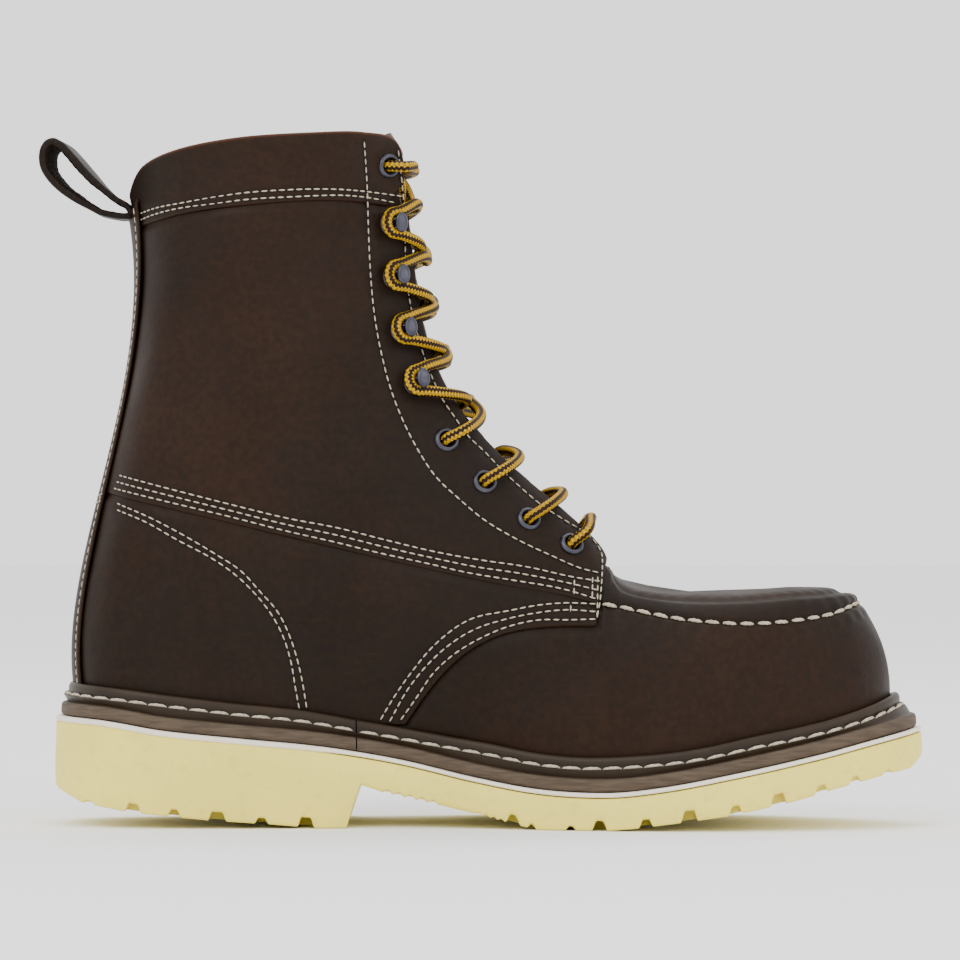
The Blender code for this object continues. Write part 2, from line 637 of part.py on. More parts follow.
def make_sides():
    names = ((-1, "inner"), (1, "outer"))
    seam = height_line(SHAFT_SEAM)
    wing = height_line(WING_EDGE)
    collar = height_line(COLLAR_SEAM)
    for side, label in names:
        u = side_u(FRONT_EDGE, HEEL - BACK_SEAM, side, 22)
        low = crossing(u, wing)
        low = np.where(low > 0.01, low + 4 * SEAM_SHARE, 0.0)
        panel("quarter_" + label, "leather", u, low, crossing(u, seam) - SEAM_SHARE, (0.0, LEATHER), 5)
        top = crossing(u, collar)
        top = np.where(top < 0.999, top - SEAM_SHARE, 1.0)
        shaft = panel("shaft_" + label, "leather", u, crossing(u, seam) + SEAM_SHARE, top, (0.0, LEATHER), 7)
        u = side_u(14.35, HEEL - BACK_SEAM, side, 13)
        panel("collar_" + label, "leather", u, crossing(u, collar) + SEAM_SHARE, np.ones(len(u)), (0.0, LEATHER), 3)
        u = side_u(8.15, 15.7, side, 16)
        stay = crossing(u, height_line(STAY_LINE))
        depth = LEATHER + LAYER_GAP + 0.0001
        band = panel("eyestay_" + label, "leather", u, np.minimum(stay + 0.004, 0.95), np.full(len(u), 0.985),
                     (depth, depth + STAY_THICKNESS), 4)
        holes = hole_cutter(side, label)
        cut(shaft, holes)
        cut(band, holes)
        cut(bpy.data.objects["collar_" + label], holes)


def make_backstay():
    whole = np.linspace(0, 1, 200)
    top = np.interp(BACKSTAY_TOP * GRADE_Z, face(np.full(len(whole), float(HEEL)), whole)[:, 2], whole)
    v = np.linspace(0.03, top, 15)
    share = np.linspace(-1, 1, 7)
    pace = np.linalg.norm(face(HEEL + 0.1, v) - face(HEEL - 0.1, v), axis=-1) / 0.2
    u = HEEL + share[None, :] * (BACKSTAY_WIDTH / 2 / pace)[:, None]
    grid_v = np.repeat(v[:, None], len(share), axis=1)
    out = LAYER_GAP
    add("backstay", plate(shell(u, grid_v, -out - OVERLAY_THICKNESS), shell(u, grid_v, -out)), "leather")


def make_counter():
    u = np.linspace(17.6, ROUND - 17.6, 25)
    high = np.minimum(crossing(u, height_line(COUNTER_LINE)), 0.5)
    depth = LEATHER + 2 * LAYER_GAP
    panel("heel_counter", "board", u, np.full(len(u), 0.02), high, (depth, depth + STAY_THICKNESS), 4)


def make_lining():
    """One liner: round the whole boot, and over the toe under the cap."""
    depth = LEATHER + LAYER_GAP + 0.0004 + CAP_THICKNESS + 0.0009
    close = 5.3
    turn = np.concatenate([np.linspace(0, 3, 6), np.linspace(3.8, close, 3), np.linspace(6.1, HEEL - 0.6, 18)])
    u = np.concatenate([turn, [HEEL], ROUND - turn[:0:-1]])
    folded = np.minimum(u, ROUND - u)
    high = np.minimum(crossing(u, height_line(STAY_LINE)) - 0.03, 0.985)
    high = np.where(folded <= close + 0.01, 0.93, high)
    share = np.linspace(0, 1, 7)
    grid_u = np.repeat(u[:, None], len(share), axis=1)
    mesh = bmesh.new()
    surface(mesh, shell(grid_u, high[:, None] * share, depth), wrap=True)
    v = np.array([0.93])
    w = np.array([0.0, 0.5, 1.0])
    surface(mesh, arch_rows(turn[turn <= close + 0.01][::-1], v, w, depth, 0.0022))
    weld(mesh)
    liner = add("lining", mesh, "lining")
    skin = liner.modifiers.new("thickness", "SOLIDIFY")
    skin.thickness = LINING_THICKNESS
    skin.offset = -1.0


# ---------------------------------------------------------------- tongue, hardware and lace
def facing_frame(u):
    """Middle between the facing edges at rib u, the way up along them, and the way forward."""
    u = np.asarray(u, float)
    point = ribs_at(u)[3] * (1, 0, 1)
    up = unit((ribs_at(u + 0.1)[3] - ribs_at(u - 0.1)[3]) * (1, 0, 1))
    forward = np.stack([up[..., 2], np.zeros(up.shape[:-1]), -up[..., 0]], -1)
    return point, up, forward


TONGUE_DROP = 0.0098
TONGUE_RADIUS = 0.040 * GRADE_Y
TONGUE_HALF_ANGLE = 32
TONGUE_THICKNESS = 0.0030


def make_tongue():
    """A curved strip under the laces, from the apron up past the topline."""
    u = np.linspace(8.6, 15, 11)
    point, up, forward = facing_frame(u)
    point = np.concatenate([point, point[-1:] + up[-1:] * 0.008])
    forward = np.concatenate([forward, forward[-1:]])
    base = np.array([[0.0615, 0, 0.0845], [0.049, 0, 0.0925]]) * (GRADE_X, 1, GRADE_Z)
    lean = unit(np.array([[0.1, 0, 1.0], [0.45, 0, 1.0]]))
    point = np.concatenate([base, point])
    forward = np.concatenate([lean, forward])
    angles = np.radians(np.linspace(-TONGUE_HALF_ANGLE, TONGUE_HALF_ANGLE, 7))
    grids = []
    for drop in (TONGUE_DROP, TONGUE_DROP + TONGUE_THICKNESS):
        radius = TONGUE_RADIUS - (drop - TONGUE_DROP)
        centre = point - forward * (TONGUE_DROP + TONGUE_RADIUS)
        ring = [centre + forward * radius * math.cos(a) + np.array([0, radius * math.sin(a), 0]) for a in angles]
        grids.append(np.stack(ring, 1))
    add("tongue", plate(grids[0], grids[1]), "leather")


def seat(x, z, side):
    """Centre and outward direction of a piece of hardware seated on the upper."""
    u, v = spot(x, z, side)
    return face(u, v), outward_normal(u, v)


def aim(obj, centre, normal):
    obj.location = Vector(centre)
    obj.rotation_mode = "QUATERNION"
    obj.rotation_quaternion = Vector(normal).to_track_quat("Z", "Y")


def turned(name, profile, centre, normal, closed, segments=10):
    """A piece turned about its own axis from (radius, height) points in mm."""
    mesh = bmesh.new()
    verts = [mesh.verts.new((r, 0, z)) for r, z in profile]
    pairs = list(zip(verts, verts[1:]))
    if closed:
        pairs.append((verts[-1], verts[0]))
    for pair in pairs:
        mesh.edges.new(pair)
    data = bpy.data.meshes.new(name)
    mesh.to_mesh(data)
    mesh.free()
    obj = bpy.data.objects.new(name, data)
    BOOT.objects.link(obj)
    data.materials.append(PAINT["gunmetal"])
    screw = obj.modifiers.new("turn", "SCREW")
    screw.steps = segments
    screw.render_steps = segments
    screw.use_merge_vertices = True
    screw.merge_threshold = 0.00001
    aim(obj, centre, normal)
    return obj


def make_eyelets():
    hole = EYELET_HOLE / 2
    barrel = hole + EYELET_WALL
    flange = EYELET_FLANGE / 2
    seat_gap = SEAT_GAP
    tail = -(LEATHER + LAYER_GAP + STAY_THICKNESS + 0.0006)
    profile = [(hole + 0.0003, seat_gap + EYELET_RIM + 0.0003), (flange - 0.0006, seat_gap + EYELET_RIM),
               (flange, seat_gap), (barrel, seat_gap), (barrel, tail), (hole, tail), (hole, seat_gap + 0.0006)]
    for side, label in ((-1, "inner"), (1, "outer")):
        for number, (x, z) in enumerate(EYELET_SPOTS, 1):
            centre, normal = seat(x, z, side)
            turned("eyelet_%s_%d" % (label, number), profile, centre, normal, True)


def make_hooks():
    base = HOOK_BASE / 2
    head = HOOK_HEAD / 2
    post = HOOK_POST / 2
    floor = STACK_GAP
    profile = [(0, HOOK_RISE + 0.0014), (head * 0.7, HOOK_RISE + 0.0012), (head, HOOK_RISE + 0.0006),
               (head * 0.9, HOOK_RISE), (post, HOOK_RISE - 0.0003), (post, floor + 0.0010),
               (base * 0.94, floor + 0.0007), (base, floor), (0, floor)]
    for side, label in ((-1, "inner"), (1, "outer")):
        for number, (x, z) in enumerate(HOOK_SPOTS, 1):
            centre, normal = seat(x, z, side)
            turned("hook_%s_%d" % (label, number), profile, centre, normal, False)


def hole_cutter(side, label):
    """Round bars through the eyelet places of one side."""
    mesh = bmesh.new()
    for x, z in EYELET_SPOTS:
        centre, normal = seat(x, z, side)
        turn = Vector(normal).to_track_quat("Z", "Y").to_matrix().to_4x4()
        place = Matrix.Translation(Vector(centre)) @ turn
        radius = EYELET_HOLE / 2 + EYELET_WALL + SEAT_GAP
        bmesh.ops.create_cone(mesh, cap_ends=True, segments=10, radius1=radius, radius2=radius, depth=0.014,
                              matrix=place)
    cutter = add("eyelet_holes_" + label, mesh, "steel", CUTTERS)
    cutter.hide_render = True
    cutter.display_type = "WIRE"
    return cutter


LACE_STEP = 0.013
EYELET_CLIMB = 0.0058
OVER = LACE_DIAMETER * 0.53
OVER_EDGE = LACE_DIAMETER / 2 + 0.0019
UNDER_EDGE = -(LEATHER + LAYER_GAP + STAY_THICKNESS + LACE_DIAMETER / 2 + 0.0006)
CROSS_FRACTIONS = [0.66, 0.68, 0.51, 0.40, 0.42, 0.32, 0.39, 0.34]


def rim_pass(z, side, lift):
    """Where the lace crosses a facing edge at height z, over or under the leather."""
    u = np.interp(z, RIM_Z, RIM_U)
    u = u if side < 0 else ROUND - u
    return ribs_at(u)[3] + outward_normal(u, np.array(0.97)) * lift + np.array([0, -side * (0.0022 if lift > 0 else 0.0004), 0])


def lace_arm(side, lift):
    """The lace from the middle of the top bar down one arm. It changes side at every crossing; lift says whether
    this arm runs over or under the other one. Points are (x, y, z)."""
    spots = [EYELET_SPOTS[0]] + HOOK_SPOTS + EYELET_SPOTS[1:]
    seats = [seat(x, z, s) for (x, z), s in zip(spots, [side * (-1) ** i for i in range(len(spots))])]
    top = seats[0][0]
    route = [np.array([top[0] + 0.0062, 0, top[2] + 0.0003]), rim_pass(top[2], side, OVER_EDGE)]
    for number, (centre, normal) in enumerate(seats):
        here = side * (-1) ** number
        to_edge = unit(np.array([0.55, -here * 0.83, 0.0]) - normal * np.dot([0.55, -here * 0.83, 0.0], normal))
        down = unit(np.cross(normal, to_edge))
        down = down * (-1 if down[2] > 0 else 1)
        if 1 <= number <= len(HOOK_SPOTS):
            wrap = LACE_DIAMETER / 2 + HOOK_POST / 2 + 0.0005
            level = centre + normal * (LACE_DIAMETER / 2 + 0.0026)
            route += [rim_pass(centre[2] + 0.0068, here, OVER_EDGE), level - down * wrap + to_edge * 0.0012,
                      level - to_edge * wrap * 0.72 - down * wrap * 0.72, level - to_edge * wrap * 1.02,
                      level - to_edge * wrap * 0.72 + down * wrap * 0.72, level + down * wrap + to_edge * 0.0012,
                      rim_pass(centre[2] - 0.0068, here, OVER_EDGE)]
        else:
            if number:
                route.append(rim_pass(centre[2] + EYELET_CLIMB, here, OVER_EDGE))
            route += [centre + normal * 0.0049 + to_edge * 0.0028, centre + normal * 0.0022, centre - normal * 0.0024,
                      centre - normal * 0.0062 + to_edge * 0.0004]
            if number == len(seats) - 1:
                route.append(centre - normal * 0.0076 + to_edge * 0.0020)
                break
            route += [centre - normal * 0.0078 + to_edge * 0.0034, rim_pass(centre[2] - 0.0020, here, UNDER_EDGE)]
        z = (centre + (seats[number + 1][0] - centre) * CROSS_FRACTIONS[number])[2]
        rim_u = np.interp(z, RIM_Z, RIM_U)
        point, _, forward = facing_frame(rim_u)
        over = lift * (1 if number % 2 else -1)
        level = 0.0020 if 1 <= number <= len(HOOK_SPOTS) else -0.0006
        route.append(point + forward * (level + over * OVER))
    return route


RIM_U = np.linspace(7.9, 15.0, 80)
RIM_Z = ribs_at(RIM_U)[3][:, 2]


def lace_route():
    arm = lace_arm(-1, 1)
    other = lace_arm(1, -1)
    return np.array(other[:0:-1] + arm)


def make_lace():
    """One round lace, threaded and pulled snug, with its ends tucked in under the lowest eyelets."""
    route = lace_route()
    step = np.linalg.norm(np.diff(route, axis=0), axis=1)
    run = np.concatenate([[0], np.cumsum(step)])
    places = [0.0]
    for start, end in zip(run, run[1:]):
        parts = math.ceil((end - start) / LACE_STEP)
        places += [start + (end - start) * (k + 1) / parts for k in range(parts)]
    points = spline(run, route, places)
    data = bpy.data.curves.new("lace", "CURVE")
    data.dimensions = "3D"
    data.bevel_depth = LACE_DIAMETER / 2
    data.bevel_resolution = 2
    data.use_fill_caps = True
    line = data.splines.new("POLY")
    line.points.add(len(points) - 1)
    for point, place in zip(line.points, points):
        point.co = (*place, 1)
    obj = bpy.data.objects.new("lace", data)
    BOOT.objects.link(obj)
    data.materials.append(PAINT["lace"])


def make_pull_loop():
    """A strap folded into a drop shape. Its round root sits on the hinge line by the backstay."""
    outer = [(3.2, 2.4), (-8, 14), (-17.5, 24.2), (-22, 25.4), (-25.2, 21.5), (-25, 15.5), (-19, 7.8), (-8, 0.5),
             (0.5, -3.4), (3.4, -1.5)]
    inner = [(-3.0, 4.2), (-9.6, 12), (-18.2, 21.6), (-21.3, 22.4), (-22.8, 20.4), (-22.4, 16.5), (-17.4, 9.6),
             (-8, 3.2), (-3.4, 1.0)]
    data = bpy.data.curves.new("pull_loop", "CURVE")
    data.dimensions = "2D"
    data.fill_mode = "BOTH"
    data.extrude = LOOP_WIDTH / 2
    for points in (outer, inner):
        line = data.splines.new("POLY")
        line.points.add(len(points) - 1)
        for point, (x, z) in zip(line.points, points):
            point.co = (x * MM, z * MM, 0, 1)
        line.use_cyclic_u = True
    obj = bpy.data.objects.new("pull_loop", data)
    BOOT.objects.link(obj)
    data.materials.append(PAINT["leather"])
    obj.location = LOOP_HINGE
    obj.rotation_euler = (math.pi / 2, 0, 0)


def make_all():
    make_outsole()
    make_stack()
    make_welt()
    make_vamp()
    make_apron()
    make_toe_cap()
    make_sides()
    make_backstay()
    make_counter()
    make_lining()
    make_tongue()
    make_eyelets()
    make_hooks()
    make_pull_loop()
    make_lace()


make_all()
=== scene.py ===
"""Steel toe work boot with a moccasin toe, storm welt, wedge lug sole, hooks, eyelets and a braided lace."""

import math

import bmesh
import bpy
import numpy as np
from mathutils import Matrix, Vector, kdtree


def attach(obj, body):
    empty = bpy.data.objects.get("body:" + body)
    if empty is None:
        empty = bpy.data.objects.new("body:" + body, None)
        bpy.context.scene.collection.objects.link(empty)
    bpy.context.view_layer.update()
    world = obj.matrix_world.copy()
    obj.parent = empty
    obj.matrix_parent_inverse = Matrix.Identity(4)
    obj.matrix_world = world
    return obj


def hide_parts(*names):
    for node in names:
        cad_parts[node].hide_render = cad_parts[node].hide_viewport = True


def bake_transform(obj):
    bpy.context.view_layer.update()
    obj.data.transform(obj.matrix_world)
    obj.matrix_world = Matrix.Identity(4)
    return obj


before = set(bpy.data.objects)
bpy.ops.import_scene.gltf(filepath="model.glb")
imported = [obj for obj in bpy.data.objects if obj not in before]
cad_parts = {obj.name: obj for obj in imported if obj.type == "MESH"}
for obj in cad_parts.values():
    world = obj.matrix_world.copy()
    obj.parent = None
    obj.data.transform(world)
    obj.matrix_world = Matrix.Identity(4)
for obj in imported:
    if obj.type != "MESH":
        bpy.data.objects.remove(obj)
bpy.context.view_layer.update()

bl_info = {
    "name": "Steel Toe Work Boot",
    "version": (1, 0, 0),
    "blender": (4, 5, 0),
    "location": "View3D > Sidebar > Boot",
    "description": "Builds the leather, sole, hardware, stitching and lace of a work boot",
    "category": "Object",
}

MM = 0.001
BODY = "boot"

# ---- the lasted form of the upper, mm ----
# plan of the sole: x, y from the toe round by the inner side
OUTLINE = [
    (157, -8), (153.5, -22), (143, -36), (127, -46), (105, -52.5), (80, -55), (55, -53), (28, -46.5), (0, -38.5),
    (-30, -34), (-60, -35.5), (-90, -37.5), (-118, -36.5), (-138, -27.5), (-147.5, -14.5), (-150.6, 0),
    (-147.5, 15.5), (-138, 29), (-118, 38), (-90, 39.5), (-60, 40), (-28, 43), (5, 49), (35, 54), (62, 54.5),
    (90, 49), (117, 37), (139, 20.5), (152.5, 5.5),
]
HEEL_POINT = 15  # of OUTLINE
# side view x, z: where the upper meets the welt, the top of the midsole, and the tread
FEATHER = [
    (-142, 50.3), (-124, 48.5), (-105, 46), (-86, 43.7), (-61, 41), (-42, 37.6), (-28, 35.2), (-12, 32.4), (5, 29.6),
    (21, 26.6), (37, 25.3), (52, 25.8), (77, 28.7), (94, 32.5), (120, 38), (137, 43.3), (146, 47),
]
DATUM = [
    (-151, 38.6), (-133, 37.6), (-111, 34.2), (-83, 31.3), (-56, 28.6), (-28, 24), (0, 17.6), (18, 14.4), (35, 13.1),
    (49, 13.3), (63, 15), (90, 20.1), (119, 26.4), (141, 31.7), (157, 35),
]
TREAD = [
    (-151, 13.5), (-146, 11.5), (-140, 8.6), (-122, 5.6), (-94, 2.9), (-72, 1.4), (-56, 0), (-46.5, 0), (-41.3, 15.2),
    (-33, 12.4), (-13, 8), (-2, 5.5), (10, 2.5), (20, 0), (45, 0), (55, 1), (69, 2.9), (88, 5.6), (109, 10.1),
    (124, 14.4), (141.5, 18.7), (152, 20.6), (157, 24.5),
]
# ribs of the inner side, toe to heel: x of the foot, (how far out, z) of the lower control point,
# (x, half width, z) of the upper control point and (x, half width, z) of the top edge
RIBS = [
    (157.0, (1.3, 60), (139.5, 0.0, 75.0), (131.5, 0.0, 82.2)),
    (151.5, (1.5, 60), (137.0, 12.5, 75.0), (129.5, 10.0, 82.1)),
    (140.0, (2.0, 58), (129.0, 24.0, 76.0), (122.5, 18.5, 81.6)),
    (120.0, (2.5, 55), (113.5, 32.5, 76.0), (109.0, 25.8, 80.8)),
    (95.0, (3.5, 51), (93.0, 39.5, 75.5), (90.0, 30.0, 79.4)),
    (70.0, (4.0, 50), (70.0, 42.5, 74.5), (70.0, 31.5, 79.6)),
    (53.0, (4.0, 50), (54.0, 43.5, 76.0), (53.5, 30.8, 82.0)),
    (43.0, (4.0, 52), (45.5, 43.0, 80.0), (47.5, 27.0, 86.5)),
    (32.0, (5.0, 55), (41.0, 45.0, 88.0), (43.5, 21.5, 98.5)),
    (16.0, (7.0, 60), (26.0, 46.0, 96.0), (31.0, 19.8, 111.0)),
    (0.0, (11.0, 64), (8.0, 45.0, 112.0), (10.0, 19.0, 129.0)),
    (-20.0, (12.0, 70), (-12.0, 42.0, 132.0), (-8.5, 18.5, 150.5)),
    (-40.0, (11.0, 78), (-28.0, 38.5, 152.0), (-18.0, 18.2, 172.0)),
    (-57.0, (10.0, 88), (-41.0, 35.0, 180.0), (-22.5, 18.0, 197.0)),
    (-72.0, (8.0, 95), (-49.0, 36.0, 195.0), (-25.5, 18.5, 222.0)),
    (-86.0, (7.0, 100), (-56.0, 39.0, 198.0), (-28.0, 20.5, 240.5)),
    (-98.0, (6.0, 100), (-66.0, 39.0, 196.0), (-40.0, 33.5, 243.8)),
    (-110.0, (6.0, 98), (-80.0, 38.5, 192.0), (-58.0, 38.8, 243.5)),
    (-122.0, (6.0, 96), (-94.0, 35.5, 188.0), (-84.0, 38.6, 241.8)),
    (-134.0, (6.5, 95), (-103.0, 28.0, 176.0), (-106.0, 31.5, 238.0)),
    (-144.5, (7.2, 95), (-107.5, 16.5, 165.0), (-119.5, 17.0, 232.5)),
    (-150.6, (7.8, 95), (-109.0, 0.0, 160.0), (-124.6, 0.0, 223.5)),
]
HEEL = len(RIBS) - 1
ROUND = 2 * HEEL
THROAT = 8.0  # these three are counted in ribs
FRONT_EDGE = 7.66
BACK_SEAM = 0.03
FOOT_TUCK = 0.0035
SIDE_INSET = 0.0083
TOE_INSET = 0.0032

# ---- edges of the leather panels and rows of stitching, side view (x, z) mm ----
WING_EDGE = [(-26, 35.6), (-19, 46), (-13, 53.5), (-5, 61), (4.5, 66.5), (13.6, 69.3), (24, 70.7), (46, 71.2)]
SHAFT_SEAM = [(-150, 122), (-130, 117), (-90, 107.5), (-49, 97.8), (-17, 90.5), (10, 85), (31, 81.4), (46, 77.5)]
COLLAR_SEAM = [(-130, 209), (-124, 210.6), (-104, 215.2), (-81, 218), (-40, 219.2), (-20, 216.5)]
STAY_LINE = [(-41, 245), (-40, 229), (-39, 215), (-37, 192), (-34.5, 174), (-31, 160), (-26, 150), (-17, 137),
             (-7, 126), (8, 112), (20, 104), (33, 98)]
STAY_ROW = [(-40.2, 240.9), (-39.2, 222.7), (-38.8, 209), (-38.1, 194.7), (-36.7, 180), (-34.3, 166.8),
            (-31.1, 154.5), (-27.3, 144.4), (-21.3, 132.5), (-14.7, 122.7), (-7.7, 116.1), (1.4, 108.4), (13.6, 101.1),
            (25.5, 95.5), (36.3, 90.9), (42.2, 89.5)]
FACING_ROW = [(-28.5, 238.6), (-26.8, 223.5), (-24.3, 184.7), (-19.4, 165.7), (-16.6, 158.3), (-12.3, 149.5),
              (-8.8, 144.5), (-3.5, 137.1), (1.4, 132.5), (7.4, 126.2), (13.7, 120.2), (22.9, 112.5), (30.7, 107.5),
              (39.8, 101.5), (43.0, 96.6), (43.2, 90.3), (42.8, 84.8), (42.4, 80.3), (41.2, 74)]
COLLAR_ROWS = [
    [(-122, 215.7), (-114, 217.7), (-104.2, 219.1), (-94.8, 220.6), (-82.1, 222.3), (-68.1, 223.3), (-40.6, 223.4),
     (-26.8, 222)],
    [(-122.4, 213.3), (-114, 215.6), (-104.2, 217.4), (-93.7, 218.5), (-81.1, 220), (-65.7, 220.9), (-39.5, 221.3),
     (-29.5, 219.7)],
]
DIAGONAL_ROWS = [
    [(-126.9, 123.7), (-105.2, 118.1), (-87.5, 113.6), (-67.5, 108.7), (-49.3, 105.2), (-31.4, 100.7), (-13.3, 96.5),
     (0.3, 94.1), (17.1, 91.6), (32.8, 88.1), (42.7, 86.5)],
    [(-127.9, 121.4), (-105.7, 115.9), (-87.8, 111.5), (-67.8, 106.5), (-49.3, 102.6), (-33.2, 98.6), (-15.4, 94.6),
     (-1.8, 91.8), (13.6, 89.5), (31.8, 85.9), (42, 83.4)],
    [(-128.9, 119.1), (-106.2, 113.7), (-88.1, 109.4), (-68.1, 104.3), (-49.3, 100), (-35, 96.5), (-17.4, 92.7),
     (-3.8, 89.6), (10.1, 87.3), (30.7, 83.6), (41.2, 80.4)],
]
COUNTER_ROWS = [
    [(-127.6, 113.9), (-115.7, 109), (-102.9, 102.4), (-92.3, 96.1), (-82.9, 89.8), (-76.6, 82.8), (-71, 76.5),
     (-66.8, 68.5), (-64.3, 61.2), (-62.3, 53), (-60.4, 41.6)],
    [(-127.6, 111.6), (-117.5, 107.6), (-105, 100.7), (-93.7, 94.7), (-84.3, 88), (-78, 81.7), (-73.1, 75.5),
     (-68.5, 66.8), (-66.1, 59), (-64.3, 48.5), (-63, 41.2)],
]
WING_ROWS = [
    [(-34.8, 37.4), (-29.4, 46.4), (-23.1, 55.3), (-15.4, 64.4), (-2.4, 73.6), (10.1, 76.3), (21.3, 78.4),
     (30.7, 79.1), (41.2, 78.7)],
    [(-31.6, 36.7), (-24.5, 49.2), (-18.9, 56.3), (-13.3, 61.9), (-2.4, 69.4), (10.1, 73.6), (20.6, 75.7),
     (30.7, 76.7), (41.2, 76)],
    [(-27.7, 37.4), (-21.7, 45.9), (-16.1, 54.2), (-9.8, 60.2), (0.3, 66.6), (10.1, 70.8), (21.3, 73.2),
     (30.7, 73.2), (41.1, 73.5)],
]
BAR_TACKS = [[(33.2, 81.8), (33.4, 87.5)], [(32, 75.4), (32.1, 79)], [(39.6, 80.8), (39.8, 88.2)],
             [(41.3, 73.5), (41.6, 88.6)]]

EYELET_SPOTS = [(-31.7, 232.6), (-11.3, 136.1), (2.1, 121.4), (17.6, 108.4), (32.6, 99.6)]
HOOK_SPOTS = [(-30.8, 212.2), (-29.8, 193.5), (-27.0, 174.5), (-22.2, 156.0)]

# ---- thicknesses, metres ----
LEATHER = 0.0020
LAYER_GAP = 0.0004
STAY_THICKNESS = 0.0014
CAP_THICKNESS = 0.0017
OVERLAY_THICKNESS = 0.0014
MIDSOLE_THICKNESS = 0.0015
WELT_THICKNESS = 0.0043
WELT_INSET = 0.0020
CORK_THICKNESS = 0.0030
BOARD_THICKNESS = 0.0025
STACK_GAP = 0.00035
LUG_DEPTH = 0.0035
# x of the gap between lugs, its width, both mm, and its depth as a share of LUG_DEPTH
LUGS = [
    (-137, 3, 0.35), (-121, 4.5, 0.9), (-106.5, 3.5, 0.75), (-91.5, 5, 0.9), (-76, 3.5, 0.6), (-60.5, 4.5, 1.0),
    (12, 3.5, 0.9), (18.5, 2, 0.5), (32, 2.5, 0.45), (42, 4, 1.0), (58, 3.5, 0.8), (73, 4.5, 1.1), (89, 3.5, 0.9),
    (104, 4.5, 1.15), (119, 3.5, 0.8), (131, 3, 0.7), (143, 2.5, 0.45),
]
RIBBED = ((-33, -13, 4.0, 0.30), (-2, 10, 2.6, 0.22))  # fine ribs under the waist: start, end, pitch, depth

# ---- smaller parts and joins, metres unless said ----
CAP_GAP = 0.0004  # round the steel cap
LINING_GAP = 0.0009  # between the cap and the lining
LACE_DIAMETER = 0.0043  # the size the route is laid out for
BRAID_PICKS = 7.0  # of the lace, in one repeat of its map
BRAID_YARNS = 4.0
BRAID_REPEAT = 0.0092
HOOK_POST = 0.0030
HOOK_TURN = 0.72  # share of the wrap at its slanted points
HOLE_CUT = 0.0034  # radius of the hole under an eyelet's flange
TONGUE_ARC = 34.0  # half the angle of its section, degrees
TONGUE_RADIUS = 0.036
TONGUE_SUNK = 0.0098  # below the facings where the vamp covers it
BACKSTAY_WIDTH = 0.027
BACKSTAY_ROW = 0.0028  # from the strip's edge to its stitches
BACKSTAY_TOP = 0.2152
LOOP_WIDTH = 0.019
LOOP_HINGE = (-0.1308, 0.0, 0.2178)
COLLAR_FRONT = 14.28  # rib
ROUND_EDGE = 0.0009  # radius of a folded leather edge
TUCK = 0.012  # share of a rib that a panel runs on under its neighbour
SOLE_CORE = 0.020  # inset where the sole's flat rings end
WELT_JOINT = 12.15  # rib
# side view x, z of the stitches round the toe, mm
TOE_SEAM = [(43, 79.2), (46, 78.8), (50, 77.8), (56, 76.4), (63, 75), (70, 73.7), (79, 72.7), (88, 72), (97, 72.1),
            (105, 72.8), (112, 73.8), (119, 75), (125, 77), (129, 78.3), (132, 79)]


# ---------------------------------------------------------------- curves
def smooth(t):
    """A soft step from 0 to 1."""
    t = np.clip(t, 0, 1)
    return t * t * (3 - 2 * t)


def spline(knots, values, at):
    """A smooth cubic curve through values at knots, read at the places in at."""
    knots = np.asarray(knots, float)
    values = np.asarray(values, float)
    at = np.asarray(at, float)
    slopes = np.gradient(values, knots, axis=0)
    low = np.clip(np.searchsorted(knots, at, side="right") - 1, 0, len(knots) - 2)
    width = knots[low + 1] - knots[low]
    t = (at - knots[low]) / width
    if values.ndim > 1:
        t = t[..., None]
        width = width[..., None]
    start = (2 * t**3 - 3 * t**2 + 1) * values[low] + (t**3 - 2 * t**2 + t) * width * slopes[low]
    return start + (3 * t**2 - 2 * t**3) * values[low + 1] + (t**3 - t**2) * width * slopes[low + 1]


def height_line(points):
    """A function giving the height at x along a side-view line."""
    table = np.array(points, float)

    def height(x):
        drawn = np.clip(np.asarray(x) / MM, table[0, 0], table[-1, 0])
        return spline(table[:, 0], table[:, 1], drawn) * MM

    return height


feather_z = height_line(FEATHER)
datum_z = height_line(DATUM)


def tread_z(x):
    """Underside of the sole, straight between its points."""
    table = np.array(TREAD, float)
    return np.interp(np.asarray(x) / MM, table[:, 0], table[:, 1]) * MM


def unit(vectors):
    """The vectors at length one."""
    return vectors / np.maximum(np.linalg.norm(vectors, axis=-1, keepdims=True), 1e-12)


def run_along(points):
    """Running length along a line of points."""
    step = np.linalg.norm(np.diff(points, axis=0), axis=1)
    return np.concatenate([[0], np.cumsum(step)])


def closed_points(points):
    """Knots and rows of a closed line, padded at both ends, and the running length at its points."""
    table = np.array(points, float) * MM
    step = np.hypot(*(np.roll(table, -1, axis=0) - table).T)
    run = np.concatenate([[0], np.cumsum(step)])
    wrap = 4
    knots = np.concatenate([run[-1 - wrap:-1] - run[-1], run[:-1], run[:wrap + 1] + run[-1]])
    rows = np.concatenate([table[-wrap:], table, table[:wrap + 1]])
    return knots, rows, run


OUT_KNOTS, OUT_ROWS, OUT_RUN = closed_points(OUTLINE)
OUT_TOTAL = OUT_RUN[-1]


def outline(run, inset=0.0):
    """Points of the sole outline at a running length, moved inward by inset, and the way outward."""
    run = np.asarray(run, float) % OUT_TOTAL
    along = unit(spline(OUT_KNOTS, OUT_ROWS, run + 0.0005) - spline(OUT_KNOTS, OUT_ROWS, run - 0.0005))
    outward = np.stack([-along[..., 1], along[..., 0]], axis=-1)
    return spline(OUT_KNOTS, OUT_ROWS, run) - outward * inset, outward


